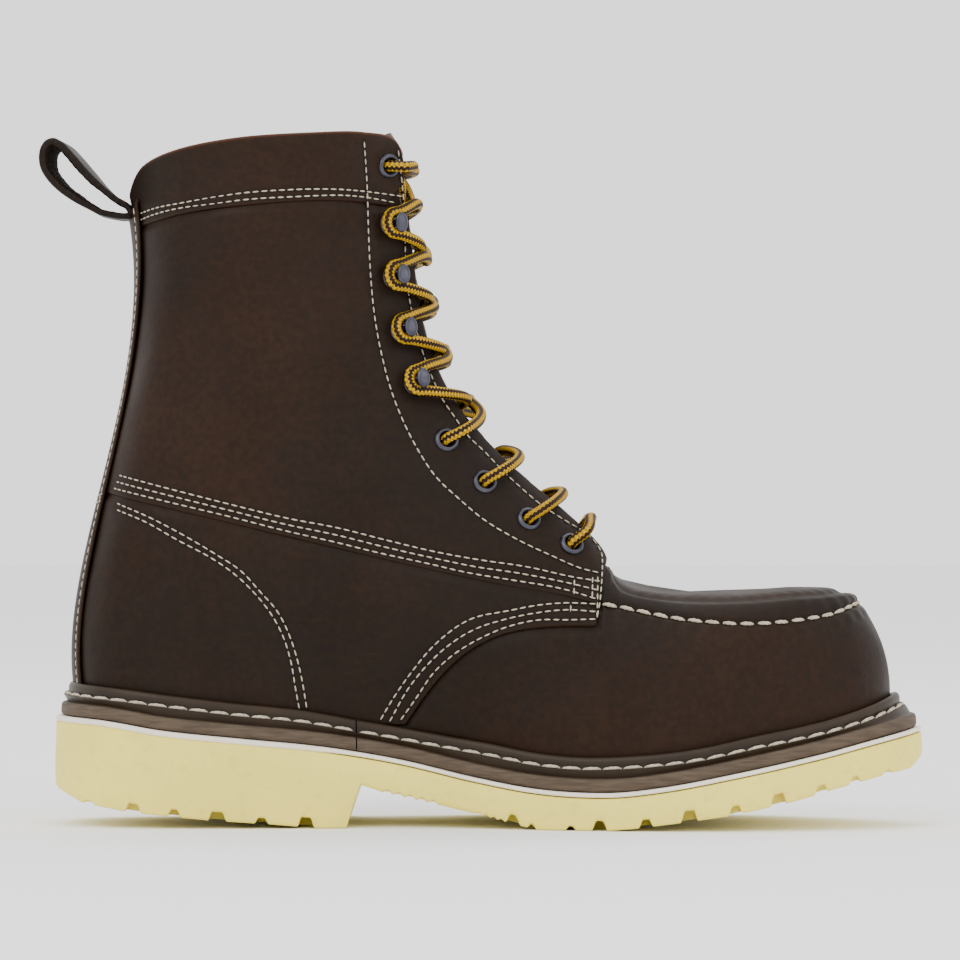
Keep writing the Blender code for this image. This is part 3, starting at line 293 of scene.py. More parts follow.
# ---------------------------------------------------------------- the form of the upper
def rib_feet():
    """Running length of the outline at every rib, inner side then outer side."""
    fine = np.linspace(0, OUT_RUN[HEEL_POINT], 600)
    inner_x = outline(fine)[0][:, 0]
    outer = np.linspace(OUT_RUN[HEEL_POINT], OUT_TOTAL, 600)
    outer_x = spline(OUT_KNOTS, OUT_ROWS, outer)[:, 0]
    feet = [0.0]
    for rib in RIBS[1:-1]:
        feet.append(float(np.interp(-rib[0] * MM, -inner_x, fine)))
    feet.append(OUT_RUN[HEEL_POINT])
    for rib in RIBS[-2:0:-1]:
        feet.append(float(np.interp(rib[0] * MM, outer_x, outer)))
    return feet


def centre_line(x):
    """The toe turns to the inner side: the y of the upper's middle at x."""
    return -8 * smooth((x / MM - 30) / 100) * MM


def form_tables():
    """The control rows of the form for one turn round the boot, padded at both ends."""
    feet = rib_feet()
    order = list(range(HEEL + 1)) + list(range(HEEL - 1, 0, -1))
    rows = []
    for place, number in enumerate(order):
        _, (bulge, rise), (px, pw, pz), (rx, rw, rz) = RIBS[number]
        side = -1 if place <= HEEL else 1
        rows.append([feet[place]] + [w * MM for w in (bulge, rise, px, side * pw, pz, rx, side * rw, rz)])
    rows = np.array(rows)
    pad = 4
    before = rows[-pad:].copy()
    before[:, 0] -= OUT_TOTAL
    after = rows[:pad + 1].copy()
    after[:, 0] += OUT_TOTAL
    return np.arange(-pad, ROUND + pad + 1), np.concatenate([before, rows, after])


FORM_KNOTS, FORM_ROWS = form_tables()


def ribs_at(u):
    """The four control points of the ribs at u: u runs round the boot from the toe by the inner side."""
    row = spline(FORM_KNOTS, FORM_ROWS, np.asarray(u) % ROUND)
    edge, outward = outline(row[..., 0])
    inset = SIDE_INSET + TOE_INSET * np.clip(outward[..., 0], 0, 1) ** 2
    foot = edge - outward * inset[..., None]
    foot_z = feather_z(foot[..., 0]) - FOOT_TUCK
    p1 = foot + outward * row[..., 1:2]
    middle = centre_line(row[..., 3])
    splay = 0.35 * (np.abs(foot[..., 1] - middle) - np.abs(row[..., 4])) * np.sign(row[..., 4])
    p2y = row[..., 4] + middle + np.where(row[..., 4] > 0, np.clip(splay, 0, 0.0035), 0)
    ry = row[..., 7] + centre_line(row[..., 6])
    return (np.stack([foot[..., 0], foot[..., 1], foot_z], -1),
            np.stack([p1[..., 0], p1[..., 1], row[..., 2]], -1),
            np.stack([row[..., 3], p2y, row[..., 5]], -1),
            np.stack([row[..., 6], ry, row[..., 8]], -1))


def face(u, v):
    """Points of the outer face of the upper: u round the boot, v up the rib."""
    p0, p1, p2, p3 = ribs_at(u)
    v = np.asarray(v)[..., None]
    w = 1 - v
    return w**3 * p0 + 3 * w**2 * v * p1 + 3 * w * v**2 * p2 + v**3 * p3


def outward_normal(u, v):
    """The way outward at places on the form."""
    step = 0.02
    along = face(u + step, v) - face(u - step, v)
    up = face(u, np.clip(v + step, 0, 1)) - face(u, np.clip(v - step, 0, 1))
    return unit(np.cross(up, along))


def folded(u):
    """u of the inner side's rib that faces the rib at u."""
    turn = np.asarray(u) % ROUND
    return np.minimum(turn, ROUND - turn)


def spine(u):
    """The apron's middle line, which the strips from the rim run to."""
    x = np.interp(folded(u), [0, 2.6, THROAT - 0.6], [109, 103, 50])
    z = np.interp(x, [46.0, 60, 75, 100, 112], [86.5, 83.4, 81.4, 82.4, 83.2])
    return np.stack([x * MM, centre_line(x * MM), z * MM], -1)


def crown(u, w):
    """Points of the apron's face: w from the rim (0) to the middle line (1)."""
    rim = ribs_at(u)[3]
    middle = spine(u)
    w = np.asarray(w)[..., None]
    flat = rim + (middle - rim) * w
    height = rim[..., 2:] + (middle[..., 2:] - rim[..., 2:]) * (1 - (1 - w) ** 2)
    return np.concatenate([flat[..., :2], height], -1)


def crossing(u, line):
    """v where each rib crosses a side-view line given as a height function."""
    v = np.linspace(0, 1, 241)
    grid_u, grid_v = np.meshgrid(u, v, indexing="ij")
    points = face(grid_u, grid_v)
    above = points[..., 2] - line(points[..., 0])
    result = []
    for row in above:
        below = np.nonzero(row < 0)[0]
        if len(below) == 0:
            result.append(0.0)
        elif below[-1] == len(v) - 1:
            result.append(1.0)
        else:
            k = below[-1]
            result.append(v[k] + (v[k + 1] - v[k]) * row[k] / (row[k] - row[k + 1]))
    return np.array(result)


def place_on_form(line, side):
    """u and v of the places on the form that show at x, z (metres) from the side. side is -1 inner, 1 outer."""
    coarse_u, coarse_v = np.meshgrid(np.linspace(THROAT - 0.5, HEEL, 136), np.linspace(0.02, 1, 99), indexing="ij")
    coarse_u = coarse_u.ravel()
    coarse_v = coarse_v.ravel()
    known = face(coarse_u, coarse_v)[:, [0, 2]]
    line = np.asarray(line)
    nearest = [int(np.argmin(np.hypot(*(known - p).T))) for p in line]
    u = coarse_u[nearest]
    v = coarse_v[nearest]
    step = 0.01
    for _ in range(5):
        miss = line - face(u, v)[:, [0, 2]]
        by_u = (face(u + step, v) - face(u - step, v))[:, [0, 2]] / (2 * step)
        by_v = (face(u, v + step) - face(u, v - step))[:, [0, 2]] / (2 * step)
        size = by_u[:, 0] * by_v[:, 1] - by_u[:, 1] * by_v[:, 0]
        size = np.where(np.abs(size) < 1e-9, 1e-9, size)
        u = u + np.clip((miss[:, 0] * by_v[:, 1] - miss[:, 1] * by_v[:, 0]) / size, -0.2, 0.2)
        v = v + np.clip((by_u[:, 0] * miss[:, 1] - by_u[:, 1] * miss[:, 0]) / size, -0.03, 0.03)
        v = np.clip(v, 0.005, 0.997)
    return (u if side < 0 else ROUND - u), v


def facing_frame(u):
    """Middle between the facing edges at rib u, the way up along them, and the way forward."""
    u = np.asarray(u, float)
    point = ribs_at(u)[3] * (1, 0, 1)
    up = unit((ribs_at(u + 0.1)[3] - ribs_at(u - 0.1)[3]) * (1, 0, 1))
    forward = np.stack([up[..., 2], np.zeros(up.shape[:-1]), -up[..., 0]], -1)
    return point, up, forward


def soft_waves(points, size, seed):
    """Low smooth unevenness of hand-lasted leather, from -1 to 1."""
    total = np.zeros(points.shape[:-1])
    for k in range(6):
        angle = 1.7 * k + seed
        way = np.array([math.cos(angle), 0.6 * math.sin(2.3 * angle), math.sin(angle)])
        total += np.sin(points @ way * (2 * math.pi / (size * (0.7 + 0.17 * k))) + 2.1 * k + seed)
    return total / 4


# ---------------------------------------------------------------- mesh helpers
def grid_piece(points, outward=None, masks=None, wrap=False, uv=None):
    """A mesh grid laid through an array of points. outward is the way that its middle face looks. masks becomes the
    colour attribute shade_and_wear (painted shade, cut edge, worn burnish), uv the map weave. wrap joins the last
    column to the first."""
    rows, columns = points.shape[:2]
    mesh = bmesh.new()
    bmesh.ops.create_grid(mesh, x_segments=rows - 1, y_segments=columns - 1, size=0.5)
    data = mesh_data(mesh, "grid")
    flat = np.zeros(len(data.vertices) * 3)
    data.vertices.foreach_get("co", flat)
    i = np.rint((flat[0::3] + 0.5) * (rows - 1)).astype(int)
    j = np.rint((flat[1::3] + 0.5) * (columns - 1)).astype(int)
    data.vertices.foreach_set("co", points[i, j].ravel())
    if masks is not None:
        shade_and_wear = data.color_attributes.new(name="shade_and_wear", type="FLOAT_COLOR", domain="POINT")
        colour = np.ones((len(i), 4))
        colour[:, :3] = masks[i, j]
        shade_and_wear.data.foreach_set("color", colour.ravel())
    if uv is not None:
        corner = np.zeros(len(data.loops), int)
        data.loops.foreach_get("vertex_index", corner)
        layer = data.uv_layers.new(name="weave")
        layer.data.foreach_set("uv", uv[i[corner], j[corner]].ravel())
    mesh = bmesh.new()
    mesh.from_mesh(data)
    bpy.data.meshes.remove(data)
    if outward is not None:
        a, b = rows // 2, columns // 2
        here = np.cross(points[a + 1, b] - points[a - 1, b], points[a, b + 1] - points[a, b - 1])
        if np.dot(here, outward) < 0:
            bmesh.ops.reverse_faces(mesh, faces=mesh.faces)
    if wrap:
        bmesh.ops.remove_doubles(mesh, verts=mesh.verts, dist=1e-7)
    return mesh


def finish_piece(name, mesh, paint, body=BODY, stands_for=(), crease=1.2):
    """Makes the object of a bmesh, paints it, ties it to its body and hides the CAD nodes it stands for. Edges that
    turn by more than crease (radians) stay sharp."""
    for polygon in mesh.faces:
        polygon.smooth = True
    for edge in mesh.edges:
        edge.smooth = edge.calc_face_angle(0.0) < crease
    obj = bpy.data.objects.new(name, mesh_data(mesh, name))
    bpy.context.scene.collection.objects.link(obj)
    obj.data.materials.append(paint)
    if body:
        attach(obj, body)
    if stands_for:
        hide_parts(*stands_for)
    return obj


def seal(mesh, distance=0.0, fill=False):
    """Merges doubles, closes open ends and turns the faces outwards."""
    if distance:
        bmesh.ops.remove_doubles(mesh, verts=mesh.verts, dist=distance)
    if fill:
        bmesh.ops.holes_fill(mesh, edges=[edge for edge in mesh.edges if edge.is_boundary], sides=0)
    bmesh.ops.recalc_face_normals(mesh, faces=mesh.faces)
    return mesh


def mesh_data(mesh, name):
    """Turns a bmesh into mesh data."""
    data = bpy.data.meshes.new(name)
    mesh.to_mesh(data)
    mesh.free()
    return data


def thicken(obj, thickness):
    """Gives a sheet its wall, on its inner side."""
    wall = obj.modifiers.new("wall", "SOLIDIFY")
    wall.thickness = thickness
    wall.offset = -1.0


def spaced(length, step, fine=(0.0, 0.3, 0.7, 1.2, 1.9, 2.8)):
    """Shares from 0 to 1 over a length, step apart, and closer at both ends."""
    ends = np.array(fine) * MM / length
    middle = np.linspace(ends[-1], 1 - ends[-1], max(int(length / step), 4))[1:-1]
    return np.concatenate([ends, middle, 1 - ends[::-1]])


def edge_distances(points):
    """Distance over the grid from its four edges: first row, last row, first column, last column."""
    down = np.concatenate([np.zeros((1, points.shape[1])),
                           np.cumsum(np.linalg.norm(np.diff(points, axis=0), axis=-1), axis=0)])
    across = np.concatenate([np.zeros((points.shape[0], 1)),
                             np.cumsum(np.linalg.norm(np.diff(points, axis=1), axis=-1), axis=1)], axis=1)
    return down, down[-1:] - down, across, across[:, -1:] - across


def rolled(distance, radius):
    """How far a surface drops towards a rounded edge."""
    reach = np.clip(radius - distance, 0, radius * 0.94)
    return radius - np.sqrt(radius**2 - reach**2)


def dense_line(row, spacing=0.0008):
    """A side-view row in mm as evenly spaced points in metres, on a smooth curve."""
    points = np.array(row, float) * MM
    run = run_along(points)
    return spline(run, points, np.linspace(0, run[-1], max(int(run[-1] / spacing), 4)))


def row_darkness(points, rows, width):
    """1 on a row of stitching seen from the side and 0 away from it."""
    samples = np.concatenate([dense_line(row) for row in rows])
    tree = kdtree.KDTree(len(samples))
    for number, (x, z) in enumerate(samples):
        tree.insert((x, 0, z), number)
    tree.balance()
    flat = points.reshape(-1, 3)
    away = np.array([tree.find((x, 0, z))[2] for x, _, z in flat]).reshape(points.shape[:-1])
    return np.exp(-(away / width) ** 2)


def cut_holes(mesh, centres, radius):
    """Removes the faces round the eyelets; the flanges cover the cut."""
    gone = []
    for polygon in mesh.faces:
        middle = polygon.calc_center_median()
        if any((middle - centre).length < radius for centre in centres):
            gone.append(polygon)
    bmesh.ops.delete(mesh, geom=gone, context="FACES")


# ---------------------------------------------------------------- finishes
def shader_of(name):
    """A new material, its node tree and its shader."""
    mat = bpy.data.materials.new(name)
    mat.use_nodes = True
    return mat, mat.node_tree, mat.node_tree.nodes["Principled BSDF"]


def plug(tree, made, **inputs):
    """Sets or links inputs of a node by name, with _ for a space."""
    for key, value in inputs.items():
        socket = made.inputs[key.replace("_", " ")]
        if isinstance(value, bpy.types.NodeSocket):
            tree.links.new(value, socket)
        else:
            socket.default_value = value


def node(tree, kind, **inputs):
    """A new node with its inputs set or linked."""
    made = tree.nodes.new(kind)
    plug(tree, made, **inputs)
    return made


def noise(tree, coords, scale, detail=4.0, stretch=None):
    """Noise over the piece, drawn out by stretch."""
    if stretch:
        coords = node(tree, "ShaderNodeMapping", Vector=coords, Scale=stretch).outputs[0]
    return node(tree, "ShaderNodeTexNoise", Scale=scale, Detail=detail, Vector=coords).outputs["Fac"]


def ramp(tree, value, stops):
    """A colour ramp. stops are (place, grey or colour)."""
    made = node(tree, "ShaderNodeValToRGB", Fac=value)
    while len(made.color_ramp.elements) < len(stops):
        made.color_ramp.elements.new(0.5)
    for element, (place, colour) in zip(made.color_ramp.elements, stops):
        element.position = place
        element.color = (colour, colour, colour, 1) if isinstance(colour, (int, float)) else (*colour[:3], 1)
    return made.outputs["Color"]


def grain(tree, coords, colour, scale, detail, dark, light, low=0.3, high=0.7):
    """A colour that noise varies from dark to light times itself."""
    return ramp(tree, noise(tree, coords, scale, detail), [(low, scaled(colour, dark)), (high, scaled(colour, light))])


def blend_colours(tree, amount, first, second, mode="MIX"):
    """The second colour laid over the first by an amount."""
    made = tree.nodes.new("ShaderNodeMix")
    made.data_type = "RGBA"
    made.blend_type = mode
    for number, value in ((0, amount), (6, first), (7, second)):
        if isinstance(value, bpy.types.NodeSocket):
            tree.links.new(value, made.inputs[number])
        else:
            made.inputs[number].default_value = (*value[:3], 1) if isinstance(value, tuple) else value
    return made.outputs[2]


def maths(tree, operation, first, second=None):
    """One sum on values or links."""
    made = tree.nodes.new("ShaderNodeMath")
    made.operation = operation
    for socket, value in zip(made.inputs, (first, second)):
        if isinstance(value, bpy.types.NodeSocket):
            tree.links.new(value, socket)
        elif value is not None:
            socket.default_value = value
    return made.outputs[0]


def bump(tree, height, strength, distance, after=None):
    """Relief from a height, on top of the relief before it."""
    made = node(tree, "ShaderNodeBump", Strength=strength, Distance=distance, Height=height)
    if after is not None:
        plug(tree, made, Normal=after)
    return made.outputs["Normal"]


def object_coords(tree):
    """Coordinates in the piece's own frame."""
    return tree.nodes.new("ShaderNodeTexCoord").outputs["Object"]


def shade_and_wear_masks(tree):
    """The three channels of the colour attribute shade_and_wear: painted shade, cut edge and worn burnish."""
    made = tree.nodes.new("ShaderNodeVertexColor")
    made.layer_name = "shade_and_wear"
    return node(tree, "ShaderNodeSeparateColor", Color=made.outputs["Color"]).outputs[:3]


def linear(colour):
    """A colour as three plain numbers."""
    return tuple(colour)[:3]


def scaled(colour, amount):
    """A colour made lighter or darker, at most 1."""
    return tuple(min(c * amount, 1.0) for c in linear(colour))


def leather_finish(name, colours, masked=True):
    """Oiled pull-up leather: mottled brown, fine pores, faint scuffs, painted shade in needle lines and seams, reddish
    raw edge.
    """
    mat, tree, shader = shader_of(name)
    coords = object_coords(tree)
    tone = ramp(tree, noise(tree, coords, 22.0, 5.0), [(0.30, scaled(colours.leather, 0.74)), (0.52, colours.leather),
                                                       (0.72, scaled(colours.leather, 1.42))])
    warm = ramp(tree, noise(tree, coords, 9.0, 3.0), [(0.45, 0.0), (0.72, 0.6)])
    tone = blend_colours(tree, warm, tone, linear(colours.burnish))
    speck = ramp(tree, noise(tree, coords, 420.0, 3.0), [(0.35, 0.78), (0.65, 1.16)])
    tone = blend_colours(tree, 1.0, tone, speck, "MULTIPLY")
    scuffs = ramp(tree, noise(tree, coords, 60.0, 6.0, (1.0, 1.0, 6.0)), [(0.63, 0.0), (0.75, 0.30)])
    tone = blend_colours(tree, scuffs, tone, scaled(colours.leather, 2.6))
    if masked:
        painted_shade, raw, worn = shade_and_wear_masks(tree)
        tone = blend_colours(tree, maths(tree, "MULTIPLY", worn, 0.75), tone, linear(colours.burnish))
        # painted shade: the first mask channel darkens needle lines, seam bands and rims towards a dark brown
        tone = blend_colours(tree, maths(tree, "MULTIPLY", painted_shade, 0.72), tone, scaled(colours.leather, 0.25))
        tone = blend_colours(tree, raw, tone, linear(colours.raw_edge))
    creases = tree.nodes.new("ShaderNodeTexVoronoi")
    creases.feature = "DISTANCE_TO_EDGE"
    plug(tree, creases, Scale=520.0, Vector=coords)
    normal = bump(tree, ramp(tree, creases.outputs["Distance"], [(0.0, 0.0), (0.22, 1.0)]), 0.16, 0.00012)
    normal = bump(tree, noise(tree, coords, 1500.0, 2.0), 0.22, 0.00010, normal)
    normal = bump(tree, noise(tree, coords, 90.0, 4.0), 0.30, 0.0006, normal)
    plug(tree, shader, Base_Color=tone, Specular_IOR_Level=0.14, Normal=normal,
         Roughness=ramp(tree, noise(tree, coords, 35.0, 5.0), [(0.3, 0.46), (0.7, 0.64)]))
    return mat


def suede_finish(name, colour):
    """The rough flesh side of leather."""
    mat, tree, shader = shader_of(name)
    coords = object_coords(tree)
    plug(tree, shader, Base_Color=grain(tree, coords, colour, 300.0, 5.0, 0.6, 1.4), Roughness=0.95,
         Specular_IOR_Level=0.08, Normal=bump(tree, noise(tree, coords, 1400.0, 5.0), 0.6, 0.0004))
    return mat


def welt_finish(name, colours):
    """Dressed welt leather: brown ridge, greyer cut edge where its mask says so, and painted shade in the stitching
    groove and at the joint with the upper.
    """
    mat, tree, shader = shader_of(name)
    coords = object_coords(tree)
    painted_shade, cut, _ = shade_and_wear_masks(tree)
    fibres = noise(tree, coords, 120.0, 6.0, (1.0, 1.0, 9.0))
    edge = ramp(tree, fibres, [(0.35, scaled(colours.welt_cut, 0.72)), (0.65, scaled(colours.welt_cut, 1.18))])
    tone = blend_colours(tree, cut, grain(tree, coords, colours.welt, 60.0, 5.0, 0.8, 1.2), edge)
    # painted shade in the stitching groove and at the joint with the upper
    tone = blend_colours(tree, maths(tree, "MULTIPLY", painted_shade, 0.8), tone, scaled(colours.welt, 0.28))
    plug(tree, shader, Base_Color=tone, Roughness=ramp(tree, cut, [(0.0, 0.42), (1.0, 0.70)]),
         Specular_IOR_Level=0.22, Normal=bump(tree, noise(tree, coords, 700.0, 4.0), 0.25, 0.0002))
    return mat


def rubber_finish(name, colour, translucent):
    """Moulded rubber: a soft even tone with faint clouding and fine pitting."""
    mat, tree, shader = shader_of(name)
    coords = object_coords(tree)
    pits = ramp(tree, noise(tree, coords, 260.0, 4.0), [(0.28, 0.90), (0.45, 1.0)])
    tone = blend_colours(tree, 1.0, grain(tree, coords, colour, 30.0, 5.0, 0.92, 1.05), pits, "MULTIPLY")
    normal = bump(tree, noise(tree, coords, 900.0, 3.0), 0.18, 0.0002)
    plug(tree, shader, Base_Color=tone, Roughness=0.55, Subsurface_Weight=translucent,
         Subsurface_Radius=(0.004, 0.003, 0.0015), Subsurface_Scale=0.6,
         Normal=bump(tree, noise(tree, coords, 120.0, 3.0), 0.2, 0.0006, normal))
    return mat


def thread_finish(name, colour):
    """Waxed cotton thread with its twist."""
    mat, tree, shader = shader_of(name)
    coords = object_coords(tree)
    plug(tree, shader, Base_Color=grain(tree, coords, colour, 900.0, 3.0, 0.68, 1.0, 0.3, 0.65), Roughness=0.8,
         Normal=bump(tree, noise(tree, coords, 2600.0, 2.0), 0.5, 0.0002))
    return mat


def lace_finish(name, colours):
    """Round braid: gold yarns and dark lanes with toothed edges, laid out by the lace's own map, with painted shade in
    the crevices between the yarns.
    """
    mat, tree, shader = shader_of(name)
    weave = tree.nodes.new("ShaderNodeUVMap")
    weave.uv_map = "weave"
    along, around, _ = node(tree, "ShaderNodeSeparateXYZ", Vector=weave.outputs[0]).outputs

    def times(value, amount):
        return maths(tree, "MULTIPLY", value, amount)

    def helix(turns):
        wound = maths(tree, "ADD", times(along, BRAID_PICKS), times(around, turns))
        return maths(tree, "PINGPONG", maths(tree, "FRACT", wound), 0.5)

    teeth = maths(tree, "PINGPONG", times(along, BRAID_PICKS), 0.5)
    lanes = maths(tree, "ADD", times(around, BRAID_YARNS), times(teeth, 0.42))
    lanes = maths(tree, "FRACT", maths(tree, "ADD", lanes, times(along, 0.18)))
    dark = maths(tree, "LESS_THAN", lanes, 0.47)
    gold = grain(tree, object_coords(tree), colours.lace, 1600.0, 3.0, 0.72, 1.15)
    tone = blend_colours(tree, dark, gold, linear(colours.lace_dark))
    strands = times(helix(BRAID_YARNS), helix(-BRAID_YARNS))
    # painted shade: darker where the crossing yarns meet
    tone = blend_colours(tree, 1.0, tone, ramp(tree, strands, [(0.0, 0.45), (0.12, 1.0)]), "MULTIPLY")
    plug(tree, shader, Base_Color=tone, Roughness=0.60, Specular_IOR_Level=0.18,
         Normal=bump(tree, strands, 0.9, 0.0006))
    return mat


def metal_finish(name, colour, roughness):
    """Metal with a faint uneven polish."""
    mat, tree, shader = shader_of(name)
    coords = object_coords(tree)
    rough = ramp(tree, noise(tree, coords, 500.0, 4.0), [(0.3, roughness * 0.8), (0.7, roughness * 1.3)])
    plug(tree, shader, Base_Color=grain(tree, coords, colour, 240.0, 4.0, 0.7, 1.25), Metallic=0.9, Roughness=rough)
    return mat


def fibre_finish(name, colour, scale, roughness=0.9):
    """Cork, fibre board, lining or foam cover: a two-tone grain with its own relief."""
    mat, tree, shader = shader_of(name)
    fibres = noise(tree, object_coords(tree), scale, 6.0)
    plug(tree, shader, Base_Color=ramp(tree, fibres, [(0.3, scaled(colour, 0.6)), (0.7, scaled(colour, 1.3))]),
         Roughness=roughness, Normal=bump(tree, fibres, 0.5, 0.0004))
    return mat


# ---------------------------------------------------------------- what a user may change
def length(name, description, default, least):
    """A size in metres that a user may change."""
    return bpy.props.FloatProperty(name=name, description=description, default=default, min=least, unit="LENGTH")


def colour(name, description, default):
    """A colour that a user may change."""
    return bpy.props.FloatVectorProperty(name=name, description=description, subtype="COLOR", default=default,
                                         min=0, max=1)


class BootSizes(bpy.types.PropertyGroup):
    step: length("Mesh step", "Distance between points of the leather panels", 0.0010, 0.0005)
    seam_pitch: length("Seam pitch", "Length from stitch to stitch on the panels", 0.0031, 0.001)
    seam_thread: length("Seam thread", "Thickness of the thread of the panels", 0.00060, 0.0002)
    toe_pitch: length("Toe seam pitch", "Length from stitch to stitch round the toe", 0.0061, 0.002)
    toe_thread: length("Toe seam thread", "Thickness of the cord of the toe seam", 0.00135, 0.0004)
    welt_pitch: length("Welt pitch", "Length from stitch to stitch on the welt", 0.0073, 0.002)
    welt_thread: length("Welt thread", "Thickness of the cord of the welt", 0.00125, 0.0004)
    lace: length("Lace thickness", "Thickness of the round lace", 0.0040, 0.002)
    unevenness: length("Unevenness", "How far the leather waves from its form", 0.00035, 0.0)


class BootColours(bpy.types.PropertyGroup):
    leather: colour("Leather", "Oiled brown of the upper", (0.0105, 0.0046, 0.0016))
    burnish: colour("Burnish", "Warmer brown where the leather is worn", (0.024, 0.0088, 0.0028))
    raw_edge: colour("Raw edge", "Cut edge of the topline", (0.070, 0.022, 0.010))
    welt: colour("Welt", "Dressed leather of the welt", (0.023, 0.0135, 0.0066))
    welt_cut: colour("Welt cut edge", "Trimmed outer edge of the welt", (0.080, 0.057, 0.038))
    midsole: colour("Midsole", "Thin white layer over the sole", (0.82, 0.74, 0.62))
    sole: colour("Sole", "Cream rubber of the outsole", (0.86, 0.725, 0.125))
    thread: colour("Thread", "Off-white thread of the seams", (0.47, 0.40, 0.295))
    lace: colour("Lace gold", "Gold yarn of the lace", (0.56, 0.315, 0.0))
    lace_dark: colour("Lace brown", "Brown yarn of the lace", (0.020, 0.0055, 0.0004))
    metal: colour("Hardware", "Gunmetal of the eyelets and hooks", (0.060, 0.060, 0.078))
    lining: colour("Lining", "Inside of the shaft", (0.060, 0.030, 0.015))


def settings(context):
    """The sizes and the colours of the boot."""
    return context.scene.boot_sizes, context.scene.boot_colours


def paint_named(name, make, *values):
    """One finish by name, made the first time it is asked for."""
    return bpy.data.materials.get(name) or make(name, *values)


def leather_paint(colours):
    """The leather of all outer panels."""
    return paint_named("oiled_leather", leather_finish, colours)


# ---------------------------------------------------------------- leather panels
SIDES = ((-1, "inner"), (1, "outer"))
SIDE_ROWS = [STAY_ROW, FACING_ROW] + COLLAR_ROWS + DIAGONAL_ROWS + COUNTER_ROWS + WING_ROWS


def eyelet_centres(side):
    """Where the eyelets go through one side."""
    centres = []
    for x, z in EYELET_SPOTS:
        u, v = place_on_form([(x * MM, z * MM)], side)
        centres.append(Vector(face(u, v)[0]))
    return centres


def leather_panel(u, low, high, sizes, sink, round_edges, raw=(), side=0, across=None, ceiling=None):
    """One panel of the upper. sink is its extra depth at its points and ribs, round_edges and raw name edges by
    number: 0 first rib, 1 last rib, 2 lower edge, 3 upper edge. ceiling cuts the panel off at a v of each rib."""
    middle = len(u) // 2
    length = np.linalg.norm(face(u[middle], high[middle]) - face(u[middle], low[middle])) * 1.12
    share = spaced(length, sizes.step) if across is None else across
    grid_v = low[:, None] + (high - low)[:, None] * share[None, :]
    if ceiling is not None:
        grid_v = np.minimum(grid_v, ceiling[:, None])
    grid_u = np.repeat(u[:, None], len(share), axis=1)
    points = face(grid_u, grid_v)
    normal = outward_normal(grid_u, grid_v)
    near = edge_distances(points)
    depth = sink(points, grid_u)
    for number in round_edges:
        depth = depth + rolled(near[number], ROUND_EDGE)
    # painted shade along the rows of stitching, where the leather dips
    needle_shade = row_darkness(points, SIDE_ROWS, 0.0008)
    depth = depth + 0.00022 * row_darkness(points, SIDE_ROWS, 0.0012)
    depth = depth - sizes.unevenness * soft_waves(points, 0.055, 0.4 + side) * smooth(near[3] / 0.02)
    cut_edge = np.zeros(depth.shape)
    for number in raw:
        cut_edge = np.maximum(cut_edge, 1 - smooth((near[number] - 0.0002) / 0.0009))
    worn = np.clip(1 - near[2] / 0.012, 0, 1) * 0.25
    for number in round_edges:
        worn = np.maximum(worn, 0.45 * (1 - smooth(near[number] / 0.0022)))
    masks = np.stack([needle_shade, cut_edge, worn], -1)
    placed = points - normal * depth[..., None]
    return grid_piece(placed, normal[len(u) // 2, len(share) // 2], masks)


def side_ribs(start, end, side, step):
    """Rib places of one side about step apart along the boot."""
    u = np.linspace(start, end, 400)
    run = run_along(face(u, np.full(400, 0.55)))
    share = spaced(run[-1], step)
    places = np.interp(share * run[-1], run, u)
    return places if side < 0 else ROUND - places


class BOOT_OT_sides(bpy.types.Operator):
    """Quarter, shaft and collar of both sides"""
    bl_idname = "boot.sides"
    bl_label = "Side panels"

    def execute(self, context):
        sizes, colours = settings(context)
        seam = height_line(SHAFT_SEAM)
        wing = height_line(WING_EDGE)
        collar = height_line(COLLAR_SEAM)
        paint = leather_paint(colours)

        def over(line, reach, first=0.0):
            """Sinks a panel where it runs on under the one above the line."""
            return lambda points, ribs: np.where(
                folded(ribs) > first, 0.0008 * smooth(1 - (line(points[..., 0]) - points[..., 2]) / reach), 0.0)

        for side, label in SIDES:
            ribs = side_ribs(FRONT_EDGE, HEEL - BACK_SEAM, side, sizes.step)
            front = side_ribs(COLLAR_FRONT, HEEL - 0.004, side, sizes.step)
            top = crossing(ribs, collar)
            panels = (
                ("quarter", ribs, crossing(ribs, wing), np.minimum(crossing(ribs, seam) + TUCK, 1.0),
                 over(seam, 0.0035), (0, 2), (), LEATHER * 0.9),
                ("shaft", ribs, crossing(ribs, seam), np.minimum(top + TUCK / 3, 1.0),
                 over(collar, 0.003, 14.2), (0, 2, 3), (), LEATHER),
                ("collar", front, crossing(front, collar), np.ones(len(front)),
                 lambda points, ribs: np.zeros(ribs.shape), (1, 2, 3), (3,), LEATHER),
            )
            for name, u, low, high, sink, round_edges, raw, wall in panels:
                mesh = leather_panel(u, low, high, sizes, sink, round_edges, raw, side)
                if name != "quarter":
                    cut_holes(mesh, eyelet_centres(side), HOLE_CUT)
                piece = finish_piece(name + "_leather_" + label, mesh, paint,
                                     stands_for=[name + "_" + label])
                thicken(piece, wall)
        return {"FINISHED"}


def seam_fall(u):
    """Height of the toe seam's stitches under the rim."""
    rim = ribs_at(u)[3]
    table = np.array(TOE_SEAM) * MM
    return rim[..., 2] - np.interp(rim[..., 0], table[:, 0], table[:, 1])


def seam_wave(u, sizes):
    """Where along the toe seam each rib lies, in stitches."""
    fine = np.linspace(-FRONT_EDGE, FRONT_EDGE, 1600)
    run = run_along(ribs_at(fine)[3])
    centre = run[len(run) // 2]
    return np.interp(np.where(u > HEEL, u - ROUND, u), fine, run - centre) / sizes.toe_pitch


